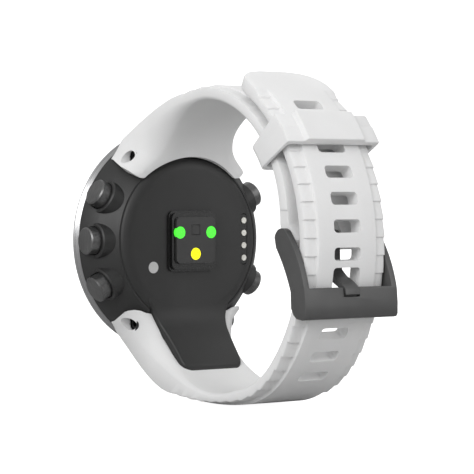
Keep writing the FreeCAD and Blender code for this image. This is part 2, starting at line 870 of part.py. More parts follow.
def plan(points, curved):
    """A prism along Y from a plan outline (x, z); curved corners are the middle of an arc."""
    edges = []
    index = 0
    ring = [Vector(x, -60, z) for x, z in points]
    while index < len(ring):
        after = (index + 1) % len(ring)
        if after in curved:
            last = (index + 2) % len(ring)
            edges.append(Part.Arc(ring[index], ring[after], ring[last]))
            index += 2
        else:
            edges.append(Part.LineSegment(ring[index], ring[after]))
            index += 1
    face = Part.Face(Part.Wire([edge.toShape() for edge in edges]))
    return face.extrude(Vector(0, 120, 0))


def box_shape(x, y, z):
    return Part.makeBox(x[1] - x[0], y[1] - y[0], z[1] - z[0], Vector(x[0], y[0], z[0]))


def read(alias):
    return float(sheet.get(alias))


def feature(label, shape):
    thing = doc.addObject("Part::Feature", label)
    thing.Shape = shape
    return keep(thing, label)


def case_room():
    """What the strap ends keep clear of: the wall of the case and its lug posts."""
    b = read("wrist_to_back")
    rim = read("back_radius")
    room = read("fit")
    waist = read("case_waist_radius") + room
    lip = read("bezel_lip_radius") + room
    top = b + read("case_depth") + room
    low = Vector(waist, b + read("case_waist_depth"), 0)
    high = Vector(lip, top, 0)
    seam = b + read("cove_depth") - 0.05
    lines = [Vector(lip, top, 0), Vector(0, top, 0), Vector(0, b - 3, 0), Vector(rim + 2 * room, b - 3, 0),
             Vector(rim + 2 * room, seam, 0), Vector(rim + 0.45 + room, seam, 0), low]
    edges = [Part.LineSegment(*ends) for ends in zip(lines, lines[1:])]
    edges.append(Part.Arc(low, arc_middle(low, high, read("case_curve")), high))
    wire = Part.Wire([edge.toShape() for edge in edges])
    room_shape = Part.Face(wire).revolve(Vector(), Vector(0, 1, 0), 360)
    for side in (1, -1):
        for rise in (read("strap_screw_rise"), -read("strap_screw_rise")):
            x = 5.5 if side > 0 else -10.5
            post = Part.makeCylinder(2.1, 5.0, Vector(x, b + read("strap_screw_depth"), rise), Vector(1, 0, 0))
            room_shape = room_shape.fuse(post)
    return room_shape


def screw_holes():
    """Bores in the sides of the strap ends for the screws and their bushes."""
    holes = []
    depth = read("wrist_to_back") + read("strap_screw_depth")
    for side in (1, -1):
        for rise in (read("strap_screw_rise"), -read("strap_screw_rise")):
            start = Vector(side * 10.0, depth, rise)
            holes.append(Part.makeCylinder(read("bush_radius") + 0.05, 9.0, start, Vector(side, 0, 0)))
    return holes


def head_plan(sign):
    """Plan of a strap end: it flares from the strap's width to the width of the case."""
    half = read("strap_half") + 0.4
    wide = read("head_half")
    points = [(12.2, 10.0), (wide, 15.4), (half + 2.0, 20.6), (half, 27.5), (half, 40.0),
              (-half, 40.0), (-half, 27.5), (-half - 2.0, 20.6), (-wide, 15.4), (-12.2, 10.0)]
    return plan([(x, sign * z) for x, z in points], (2, 7))


def make_short_strap():
    b = read("wrist_to_back")
    thick = read("strap_thick")
    centre = Vector(0, read("short_centre"), read("short_lift"))
    inner, outer = read("short_radius"), read("short_radius") + thick
    bar = Vector(0, read("bar_depth"), read("bar_rise"))
    eye = read("eye_radius")
    head_top = b + read("case_depth") - 0.4
    crest_in, crest_out = polar(centre, inner, 90), polar(centre, outer, 90)
    end_in, end_out = polar(centre, inner, 180), polar(centre, outer, 180)
    shoulder = Vector(0, head_top, 20.6)
    root = Vector(0, b + 0.3, 13.0)
    edges = [
        Part.LineSegment(Vector(0, head_top, 13.0), shoulder),
        Part.Arc(shoulder, Vector(0, b - 3.2, 27.4), crest_out),
        arc(centre, outer, 90, 180),
        Part.LineSegment(end_out, Vector(0, bar.y - eye, bar.z)),
        Part.Arc(Vector(0, bar.y - eye, bar.z), Vector(0, bar.y, bar.z - eye), Vector(0, bar.y + eye, bar.z)),
        Part.LineSegment(Vector(0, bar.y + eye, bar.z), end_in),
        arc(centre, inner, 180, 90),
        Part.Arc(crest_in, Vector(0, b - 5.1, 22.6), root),
        Part.LineSegment(root, Vector(0, head_top, 13.0)),
    ]
    strap = slab(edges, 20.0).common(head_plan(1).fuse(box_shape((-30, 30), (-60, b - 14), (-10, 40))))
    half = read("strap_half") + 0.4
    strap = strap.common(box_shape((-half, half), (-60, b - 12), (-10, 40)).fuse(
        box_shape((-20, 20), (b - 12.1, b + 20), (8, 40))))
    sides = [box_shape((side * 14 - 4.4, side * 14 + 4.4), (-40, -10), (-6, 6.5)) for side in (1, -1)]
    slot = box_shape((-2.2, 2.2), (-40, bar.y + eye + 1.0), (bar.z - eye - 1, bar.z + eye + 1.3))
    bore = Part.makeCylinder(read("bar_radius") + 0.12, 40, Vector(-20, bar.y, bar.z), Vector(1, 0, 0))
    return strap.cut([case_room(), slot, bore] + sides + screw_holes())


def tail_chain():
    """Centres, outer radii and angles of the arcs of the tail, from its tip to the case."""
    centre = Vector(0, read("tail_centre"), read("tail_lift"))
    radius = read("tail_radius") + read("strap_thick")
    angle = read("tail_tip")
    chain = []
    for next_radius, sweep in ((radius, 112.6), (21.4, 39.0), (72.9, 15.9), (19.8, 60.0)):
        joint = polar(centre, radius, angle)
        centre = joint - (polar(Vector(), 1.0, angle)) * next_radius
        chain.append((centre, next_radius, angle, angle + sweep))
        radius = next_radius
        angle += sweep
    return chain


def make_tail():
    b = read("wrist_to_back")
    thick = read("strap_thick")
    chain = tail_chain()
    head_top = b + read("case_depth") - 0.4
    outer = [arc(centre, radius, first, last) for centre, radius, first, last in chain]
    inner = [arc(centre, radius - thick, last, first) for centre, radius, first, last in chain[:2]]
    inner.reverse()
    tip_out, tip_in = outer[0].StartPoint, inner[-1].EndPoint
    foot_out = outer[-1].EndPoint
    root = Vector(0, b + 2.0, -12.4)
    corner = Vector(0, head_top, foot_out.z + 1.5)
    edges = outer + [
        Part.LineSegment(foot_out, corner),
        Part.LineSegment(corner, Vector(0, head_top, -12.4)),
        Part.LineSegment(Vector(0, head_top, -12.4), root),
        Part.Arc(root, Vector(0, b - 6.3, -24.8), inner[0].StartPoint),
    ] + inner + [
        Part.Arc(tip_in, (tip_in + tip_out) * 0.5 + polar(Vector(), 1.2, read("tail_tip") - 90), tip_out),
    ]
    half = read("strap_half")
    whole = slab(edges, 20.0)
    ends = box_shape((-20, 20), (b - 12, b + 20), (-40, -8))
    head = whole.common(ends).common(head_plan(-1))
    band = whole.common(box_shape((-half, half), (-60, b - 11.9), (-60, 60)))
    tip = tip_round(half)
    tail = head.fuse(band).common(tip)
    tongue = tongue_plate(0.15)
    doc.recompute()
    return tail.cut([case_room(), tongue.Shape] + tail_slots() + screw_holes())


def tip_round(half):
    """Keeps all of the tail but the corners of its rounded tip."""
    b = read("wrist_to_back")
    tip = polar(Vector(0, read("tail_centre"), read("tail_lift")), read("tail_radius"), read("tail_tip"))
    y = tip.y + 1.3
    radius = 6.0
    outline = [Vector(-half, y - radius, 0), Vector(-half + radius * 0.29, y - radius * 0.29, 0),
               Vector(-half + radius, y, 0), Vector(half - radius, y, 0),
               Vector(half - radius * 0.29, y - radius * 0.29, 0), Vector(half, y - radius, 0)]
    edges = [Part.Arc(*outline[0:3]), Part.LineSegment(outline[2], outline[3]), Part.Arc(*outline[3:6]),
             Part.LineSegment(outline[5], Vector(half, -60, 0)),
             Part.LineSegment(Vector(half, -60, 0), Vector(-half, -60, 0)),
             Part.LineSegment(Vector(-half, -60, 0), outline[0])]
    face = Part.Face(Part.Wire([edge.toShape() for edge in edges]))
    upper = face.extrude(Vector(0, 0, 60))
    return upper.fuse(box_shape((-20, 20), (-60, b + 20), (-60, 0.5)))


def tail_slots():
    """The row of slots; the one that the prong uses is drawn out, as the prong stretches it."""
    centre = Vector(0, read("tail_centre"), read("tail_lift"))
    radius = read("tail_radius") + read("strap_thick")
    pitch = math.degrees(read("slot_pitch") / radius)
    half = read("slot_width") / 2
    slots = []
    for number in range(int(read("slot_count"))):
        angle = read("slot_first") + number * pitch
        tall = read("slot_height")
        if number == 7:
            tall += 2.6
            angle -= 0.3
        cutter = box_shape((-half, half), (-4, 4), (-tall / 2, tall / 2))
        cutter.rotate(Vector(), Vector(1, 0, 0), angle - 180)
        cutter.translate(polar(centre, radius - read("strap_thick") / 2, angle))
        slots.append(cutter)
    return slots


feature("strap_short", make_short_strap())
feature("strap_long", make_tail())


def make_bushes():
    bushes = []
    for side, rise in screw_spots():
        start = size.lug_face + 0.3 if side > 0 else -size.lug_face - 0.3 - size.bush_length
        tube = rod(size.bush_radius, start, size.bush_length, "x", y=screw_y, z=rise)
        hole = rod(size.bush_radius - 0.3, start - 1.0, size.bush_length + 2.0, "x", y=screw_y, z=rise)
        bushes.append(cut(tube, hole))
    return group(*bushes)


def make_strap_screws():
    screws = []
    for side, rise in screw_spots():
        shank = rod(0.72, 6.6 if side > 0 else -10.9, 4.3, "x", y=screw_y, z=rise)
        head = rod(1.22, 10.6 if side > 0 else -11.8, 1.2, "x", y=screw_y, z=rise)
        socket = rod(0.65, 11.1 if side > 0 else -12.4, 1.3, "x", y=screw_y, z=rise)
        screws.append(cut(fuse(shank, head), socket))
    return group(*screws)


keep(make_bushes(), "strap_bushes")
keep(make_strap_screws(), "strap_screws")


# ---------------------------------------------------------------- buckle and keeper

bar_y = size.bar_depth
bar_z = size.bar_rise


def make_buckle():
    side = side_plate([
        (bar_y + 2.2, bar_z, 2.25), (bar_y - 1.75, bar_z + 1.33, 24.0),
        (size.cross_face + 0.35, size.cross_top - 0.5), (size.cross_face, size.cross_low),
        (size.cross_back, size.cross_low - 0.1), (-26.2, -13.2), (-25.3, -11.8),
        (-25.15, -8.7), (-22.9, -3.6),
    ], size.arm_outer)
    upper = box((-size.arm_inner, size.arm_inner), (-40.0, -10.0), (size.cross_top, 10.0))
    behind = box((-size.arm_inner, size.arm_inner), (size.cross_back, -10.0), (-20.0, 10.0))
    holes = rod(0.6, -11.0, 22.0, "x", y=bar_y, z=bar_z)
    notch = box((-1.95, 1.95), (-33.0, size.cross_face + 0.95), (size.cross_top - 3.2, size.cross_top + 1.0))
    return cut(side, upper, behind, holes, notch)


def make_prong():
    half = size.tongue_width / 2
    thick = size.prong_thick
    eye = rod(1.85, -half, 2 * half, "x", y=bar_y, z=bar_z)
    plate = side_plate([
        (bar_y - 0.3, bar_z - 0.2), (bar_y - 0.45, bar_z - 4.9),
        (size.cross_face + 0.85, size.cross_top + 0.25),
        (size.cross_face + 0.85, size.cross_top - 2.6),
        (size.cross_face + 0.85 - thick * 0.6, size.cross_top - 3.0),
        (size.cross_face + 0.85 - thick, size.cross_top - 2.6),
        (size.cross_face + 0.85 - thick, size.cross_top - 0.3), (size.cross_face + 0.15, size.cross_top + 1.0),
        (bar_y - 0.55 - thick, bar_z - 4.7), (bar_y - 1.4, bar_z - 0.2),
    ], half)
    bore = rod(size.bar_radius + 0.08, -5.0, 10.0, "x", y=bar_y, z=bar_z)
    return cut(fuse(eye, plate), bore)


def make_bar_tube():
    tube = rod(size.bar_radius, -size.bar_half, 2 * size.bar_half, "x", y=bar_y, z=bar_z)
    hole = rod(0.62, -20.0, 40.0, "x", y=bar_y, z=bar_z)
    return cut(tube, hole)


def make_bar_tips():
    tips = []
    for side in (1, -1):
        long_part = rod(0.58, 7.4 if side > 0 else -8.9, 1.5, "x", y=bar_y, z=bar_z)
        tip = rod(0.5, 8.8 if side > 0 else -10.9, 2.1, "x", y=bar_y, z=bar_z)
        tips.append(fuse(long_part, tip))
    return group(*tips)


def make_bar_spring():
    spring = group(coil(0.42, 0.1, 1.8, 14.4))
    spring.Placement = Placement(Vector(), Rotation(Vector(0, 1, 0), 90))
    return move(spring, -7.2, bar_y, bar_z)


keep(make_buckle(), "buckle_frame")
keep(make_prong(), "buckle_tongue")
keep(make_bar_tube(), "spring_bar_tube")
keep(make_bar_tips(), "spring_bar_tips")
keep(make_bar_spring(), "spring_bar_spring")


def make_keeper():
    """A loop round both straps, concentric with the tail, so that it can slide along it."""
    centre = Vector(0, read("tail_centre"), read("tail_lift"))
    gap, wall = read("keeper_gap"), read("keeper_wall")
    outer = read("tail_radius") + read("strap_thick") + gap
    short = Vector(0, read("short_centre"), read("short_lift"))
    inside = polar(short, read("short_radius"), 137.0)
    inner = inside.distanceToPoint(centre) - 2 * gap
    reach = math.degrees(read("keeper_length") / outer / 2)
    first, last = read("keeper_angle") - reach, read("keeper_angle") + reach

    def sector(low, high, half, spare):
        edges = [arc(centre, high, first - spare, last + spare),
                 Part.LineSegment(polar(centre, high, last + spare), polar(centre, low, last + spare)),
                 arc(centre, low, last + spare, first - spare),
                 Part.LineSegment(polar(centre, low, first - spare), polar(centre, high, first - spare))]
        return slab(edges, half)

    half = read("keeper_half")
    body = sector(inner - wall, outer + wall, half, 0.0)
    crown = sector(outer + wall - 0.3, outer + wall + 0.8, 7.0, -0.4)
    hollow = sector(inner, outer, half - read("keeper_side"), 3.0)
    return body.fuse(crown).cut(hollow)


feature("keeper", make_keeper())


# ---------------------------------------------------------------- write

doc.recompute()
for thing in doc.Objects:
    if "Invalid" in thing.State or "Error" in thing.State:
        raise RuntimeError("failed object: %s %s" % (thing.Name, thing.Label))
os.makedirs("parts", exist_ok=True)
for thing in nodes:
    if thing.Shape.isNull() or not thing.Shape.isValid() or not thing.Shape.Solids:
        raise RuntimeError("bad shape: " + thing.Label)
    thing.Shape.exportStep(os.path.join("parts", thing.Label + ".step"))
print(len(nodes), "parts written")
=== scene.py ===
import bmesh
import bpy
import json
import math
from mathutils import Matrix, Vector


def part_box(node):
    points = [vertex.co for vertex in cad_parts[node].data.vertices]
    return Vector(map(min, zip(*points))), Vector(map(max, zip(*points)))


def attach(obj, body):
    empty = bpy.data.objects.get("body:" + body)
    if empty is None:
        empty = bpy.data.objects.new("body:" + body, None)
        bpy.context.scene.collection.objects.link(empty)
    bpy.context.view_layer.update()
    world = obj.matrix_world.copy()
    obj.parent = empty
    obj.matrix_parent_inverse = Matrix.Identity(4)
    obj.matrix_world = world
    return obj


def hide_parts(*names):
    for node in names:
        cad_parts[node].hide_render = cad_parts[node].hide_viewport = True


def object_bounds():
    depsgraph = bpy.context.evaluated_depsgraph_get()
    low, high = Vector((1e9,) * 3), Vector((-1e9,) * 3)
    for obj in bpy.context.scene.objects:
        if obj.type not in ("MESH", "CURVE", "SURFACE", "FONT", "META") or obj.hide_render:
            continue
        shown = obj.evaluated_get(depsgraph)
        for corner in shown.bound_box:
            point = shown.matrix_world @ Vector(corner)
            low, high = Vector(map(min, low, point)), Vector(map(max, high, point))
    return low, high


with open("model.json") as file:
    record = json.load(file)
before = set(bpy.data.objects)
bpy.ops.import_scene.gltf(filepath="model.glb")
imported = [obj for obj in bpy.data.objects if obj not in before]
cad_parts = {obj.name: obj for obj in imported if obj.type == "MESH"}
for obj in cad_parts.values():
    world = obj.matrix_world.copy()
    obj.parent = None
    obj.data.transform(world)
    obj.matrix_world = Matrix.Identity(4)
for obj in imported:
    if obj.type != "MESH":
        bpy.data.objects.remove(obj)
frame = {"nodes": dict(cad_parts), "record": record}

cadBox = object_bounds()
nodes = frame["nodes"]
mm = 0.001


# small helpers

def toLinear(hexColour):  # sRGB hex to the linear values that the shaders use
    parts = [int(hexColour[i:i + 2], 16) / 255 for i in (1, 3, 5)]
    return [p / 12.92 if p <= 0.04045 else ((p + 0.055) / 1.055) ** 2.4 for p in parts] + [1.0]


def addNode(tree, kind, settings=None, links=None):  # one node with its settings and its incoming links
    node = tree.nodes.new(kind)
    for key, value in (settings or {}).items():
        if isinstance(key, int) or key in node.inputs:
            node.inputs[key].default_value = value
        else:
            setattr(node, key, value)
    for key, source in (links or {}).items():
        tree.links.new(source, node.inputs[key])
    return node


def arcPoints(centre, radius, first, last, count):  # side view (y, z), degrees from +Y towards +Z
    turns = [math.radians(first + (last - first) * i / (count - 1)) for i in range(count)]
    return [(centre[0] + radius * math.cos(t), centre[1] + radius * math.sin(t)) for t in turns]


def arcThrough(a, b, c, count):  # side view arc from a through b to c
    ax, ay, bx, by, cx, cy = *a, *b, *c
    d = 2 * (ax * (by - cy) + bx * (cy - ay) + cx * (ay - by))
    ux = ((ax * ax + ay * ay) * (by - cy) + (bx * bx + by * by) * (cy - ay) + (cx * cx + cy * cy) * (ay - by)) / d
    uy = ((ax * ax + ay * ay) * (cx - bx) + (bx * bx + by * by) * (ax - cx) + (cx * cx + cy * cy) * (bx - ax)) / d
    angles = [math.degrees(math.atan2(p[1] - uy, p[0] - ux)) for p in (a, b, c)]
    sweep = (angles[2] - angles[0]) % 360
    if (angles[1] - angles[0]) % 360 > sweep:
        sweep -= 360
    return arcPoints((ux, uy), math.hypot(ax - ux, ay - uy), angles[0], angles[0] + sweep, count)


def circleAt(centre, radius, count, first=0):  # closed outline, so the last point isn't given twice
    return arcPoints(centre, radius, first, first + 360, count + 1)[:-1]


def cornersOf(lowU, lowV, highU, highV):
    return [(lowU, lowV), (highU, lowV), (highU, highV), (lowU, highV)]


def mirrored(half):  # half an outline from its middle line, completed on the other side
    return half + [(-x, d) for x, d in half[-2:0:-1]]


def lengthOf(points):
    return sum(math.dist(p, q) for p, q in zip(points, points[1:]))


def alongLine(points, count):  # count points, evenly spaced along a polyline
    steps = [math.dist(p, q) for p, q in zip(points, points[1:])]
    result, index, done = [], 0, 0.0
    for i in range(count):
        want = sum(steps) * i / (count - 1)
        while index < len(steps) - 1 and done + steps[index] < want:
            done += steps[index]
            index += 1
        share = min(max((want - done) / steps[index], 0.0), 1.0)
        p, q = points[index], points[index + 1]
        result.append((p[0] + (q[0] - p[0]) * share, p[1] + (q[1] - p[1]) * share))
    return result


def between(table, at):  # smooth value from a table of (place, value) rows, without overshoot
    if at <= table[0][0] or at >= table[-1][0]:
        return table[0][1] if at <= table[0][0] else table[-1][1]
    slopes = [(q[1] - p[1]) / (q[0] - p[0]) for p, q in zip(table, table[1:])]
    for i in range(len(slopes)):
        (a, low), (b, high) = table[i], table[i + 1]
        if at > b:
            continue
        first = 2 / (1 / slopes[i - 1] + 1 / slopes[i]) if i and slopes[i - 1] * slopes[i] > 0 else 0.0
        last = 2 / (1 / slopes[i] + 1 / slopes[i + 1]) if i + 1 < len(slopes) and slopes[i] * slopes[i + 1] > 0 else 0.0
        u, wide = (at - a) / (b - a), b - a
        return ((1 + 2 * u) * (1 - u) ** 2 * low + u * (1 - u) ** 2 * wide * first
                + u * u * (3 - 2 * u) * high + u * u * (u - 1) * wide * last)


def pieceFrom(name, vertices, faces, creaseAngle=32):  # a mesh, shaded smooth but for its sharp edges
    mesh = bpy.data.meshes.new(name)
    mesh.from_pydata([Vector(v) * mm for v in vertices], [], faces)
    piece = bpy.data.objects.new(name, mesh)
    bpy.context.scene.collection.objects.link(piece)
    shape = bmesh.new()
    shape.from_mesh(mesh)
    bmesh.ops.remove_doubles(shape, verts=shape.verts, dist=1e-7)
    bmesh.ops.recalc_face_normals(shape, faces=shape.faces)
    if shape.calc_volume(signed=True) < 0:
        bmesh.ops.reverse_faces(shape, faces=shape.faces)
    shape.to_mesh(mesh)
    shape.free()
    soften(piece, creaseAngle)
    return piece


def soften(piece, creaseAngle):  # smooth shading, broken at edges sharper than the angle
    piece.data.polygons.foreach_set("use_smooth", [True] * len(piece.data.polygons))
    piece.data.set_sharp_from_angle(angle=math.radians(creaseAngle))


def loftFrom(name, rings, creaseAngle=32):  # skin over closed rings of equal count
    count = len(rings[0])
    faces = []
    for r in range(len(rings) - 1):
        for c in range(count):
            a, b = r * count + c, r * count + (c + 1) % count
            faces.append((a, b, b + count, a + count))
    last = (len(rings) - 1) * count
    faces.append(tuple(range(count))[::-1])
    faces.append(tuple(range(last, last + count)))
    return pieceFrom(name, [p for ring in rings for p in ring], faces, creaseAngle)


def prismFrom(name, outline, axis, low, high, creaseAngle=32):  # outline pushed along X (y, z) or Y (x, z)
    rings = []
    for level in (low, high):
        rings.append([(level, u, v) if axis == "x" else (u, level, v) for u, v in outline])
    return loftFrom(name, rings, creaseAngle)


def latheFrom(name, outline, count=160):  # outline (radius, y) turned about Y, with a pole where it meets the axis
    vertices, places, faces = [], [], []
    for r, y in outline:
        ring = [len(vertices)] * count if r == 0 else list(range(len(vertices), len(vertices) + count))
        turns = [0.0] if r == 0 else [2 * math.pi * k / count for k in range(count)]
        vertices += [(r * math.cos(t), y, r * math.sin(t)) for t in turns]
        places.append(ring)
    pairs = list(zip(places, places[1:])) + ([(places[-1], places[0])] if outline[0][0] > 0 else [])
    for a, b in pairs:
        for k in range(count):
            corners = (a[k], a[(k + 1) % count], b[(k + 1) % count], b[k])
            faces.append(tuple(dict.fromkeys(corners)))
    return pieceFrom(name, vertices, faces)


def applied(piece):  # bake the modifiers of a piece into its mesh
    graph = bpy.context.evaluated_depsgraph_get()
    mesh = bpy.data.meshes.new_from_object(piece.evaluated_get(graph))
    piece.modifiers.clear()
    piece.data = mesh


def carve(piece, tool, operation="DIFFERENCE", creaseAngle=32):
    modifier = piece.modifiers.new("carve", "BOOLEAN")
    modifier.operation = operation
    modifier.object = tool
    modifier.solver = "EXACT"
    applied(piece)
    bpy.data.objects.remove(tool)
    soften(piece, creaseAngle)


def bevelled(piece, width, segments, limit=35):
    modifier = piece.modifiers.new("bevel", "BEVEL")
    modifier.width = width * mm
    modifier.segments = segments
    modifier.limit_method = "ANGLE"
    modifier.angle_limit = math.radians(limit)
    modifier.use_clamp_overlap = True
    applied(piece)
    soften(piece, 40)


def roundedBox(x, low, high, corner, count=5):  # outline of a rounded rectangle, half width x
    points = []
    for sx, sz, start in ((1, 1, 0), (-1, 1, 90), (-1, -1, 180), (1, -1, 270)):
        centreX, centreZ = sx * (x - corner), (high - corner) if sz > 0 else (low + corner)
        points += arcPoints((centreX, centreZ), corner, start, start + 90, count)
    return points


# camera, on the sight line of the back and its three-button side

cameraSettings = {"azimuth": -37.0, "elevation": 1.2, "distance": 450.0, "lens": 170.5,
                  "aim": (0.0, 7.0, 0.0), "right": 0.4, "up": 0.84}


def makeCamera(s):
    a, e = math.radians(s["azimuth"]), math.radians(s["elevation"])
    away = Vector((math.sin(a) * math.cos(e), -math.cos(a) * math.cos(e), math.sin(e)))
    side = Vector((math.cos(a), math.sin(a), 0))
    aim = Vector(s["aim"]) + side * s["right"] + Vector((0, 0, s["up"]))
    data = bpy.data.cameras.new("camera")
    data.lens = s["lens"]
    data.sensor_width = 36
    data.clip_start, data.clip_end = 0.01, 20
    camera = bpy.data.objects.new("camera", data)
    camera.location = (aim + away * s["distance"]) * mm
    camera.rotation_euler = (-away).to_track_quat("-Z", "Y").to_euler()
    bpy.context.scene.collection.objects.link(camera)
    bpy.context.scene.camera = camera


makeCamera(cameraSettings)
print("camera ready")


# materials: colours, grain and gloss of each real finish

def emptyMaterial(name):  # a cleared material, its tree and the object's own coordinates
    material = bpy.data.materials.new(name)
    material.use_nodes = True
    tree = material.node_tree
    tree.nodes.clear()
    return material, tree, addNode(tree, "ShaderNodeTexCoord").outputs["Object"]


def buildFinish(name, s):
    material, tree, place = emptyMaterial(name)
    if "turned" in s:  # marks that run round the dial's axis
        split = addNode(tree, "ShaderNodeSeparateXYZ", links={0: place})
        across = addNode(tree, "ShaderNodeCombineXYZ", {"Y": 0.0}, {"X": split.outputs["X"], "Z": split.outputs["Z"]})
        reach = addNode(tree, "ShaderNodeVectorMath", {"operation": "LENGTH"}, {0: across.outputs[0]})
        grainPlace = addNode(tree, "ShaderNodeCombineXYZ", {"Z": 0.0},
                             {"X": reach.outputs["Value"], "Y": split.outputs["Y"]}).outputs[0]
    else:
        grainPlace = addNode(tree, "ShaderNodeMapping", {"Scale": s.get("stretch", (1, 1, 1))},
                             {"Vector": place}).outputs[0]
    grain = addNode(tree, "ShaderNodeTexNoise",
                    {"Scale": 1 / (s["grainMm"] * mm), "Detail": s.get("detail", 3.0), "Roughness": 0.6},
                    {"Vector": grainPlace})
    tone = addNode(tree, "ShaderNodeTexNoise", {"Scale": 1 / (s["toneMm"] * mm), "Detail": 2.0}, {"Vector": place})
    blend = addNode(tree, "ShaderNodeMath", {"operation": "MULTIPLY_ADD", 1: s.get("grainTone", 0.35), 2: 0.0},
                    {0: grain.outputs["Fac"]})
    factor = addNode(tree, "ShaderNodeMath", {"operation": "MULTIPLY_ADD", 1: 1 - s.get("grainTone", 0.35)},
                     {0: tone.outputs["Fac"], 2: blend.outputs[0]})
    spread = addNode(tree, "ShaderNodeMapRange", {"From Min": 0.3, "From Max": 0.7}, {"Value": factor.outputs[0]})
    colour = addNode(tree, "ShaderNodeMix", {"data_type": "RGBA"}, {0: spread.outputs[0]})
    colour.inputs[6].default_value = toLinear(s["low"])
    colour.inputs[7].default_value = toLinear(s["high"])
    gloss = addNode(tree, "ShaderNodeMapRange",
                    {"From Min": 0.3, "From Max": 0.7, "To Min": s["gloss"][0], "To Max": s["gloss"][1]},
                    {"Value": grain.outputs["Fac"]})
    bump = addNode(tree, "ShaderNodeBump", {"Strength": s.get("bump", 0.3), "Distance": s["depthMm"] * mm},
                   {"Height": grain.outputs["Fac"]})
    shader = addNode(tree, "ShaderNodeBsdfPrincipled", s.get("shader"),
                     {"Base Color": colour.outputs[2], "Roughness": gloss.outputs[0], "Normal": bump.outputs[0]})
    addNode(tree, "ShaderNodeOutputMaterial", links={"Surface": shader.outputs[0]})
    return material


green = toLinear("#58fa40")
yellow = toLinear("#fff600")
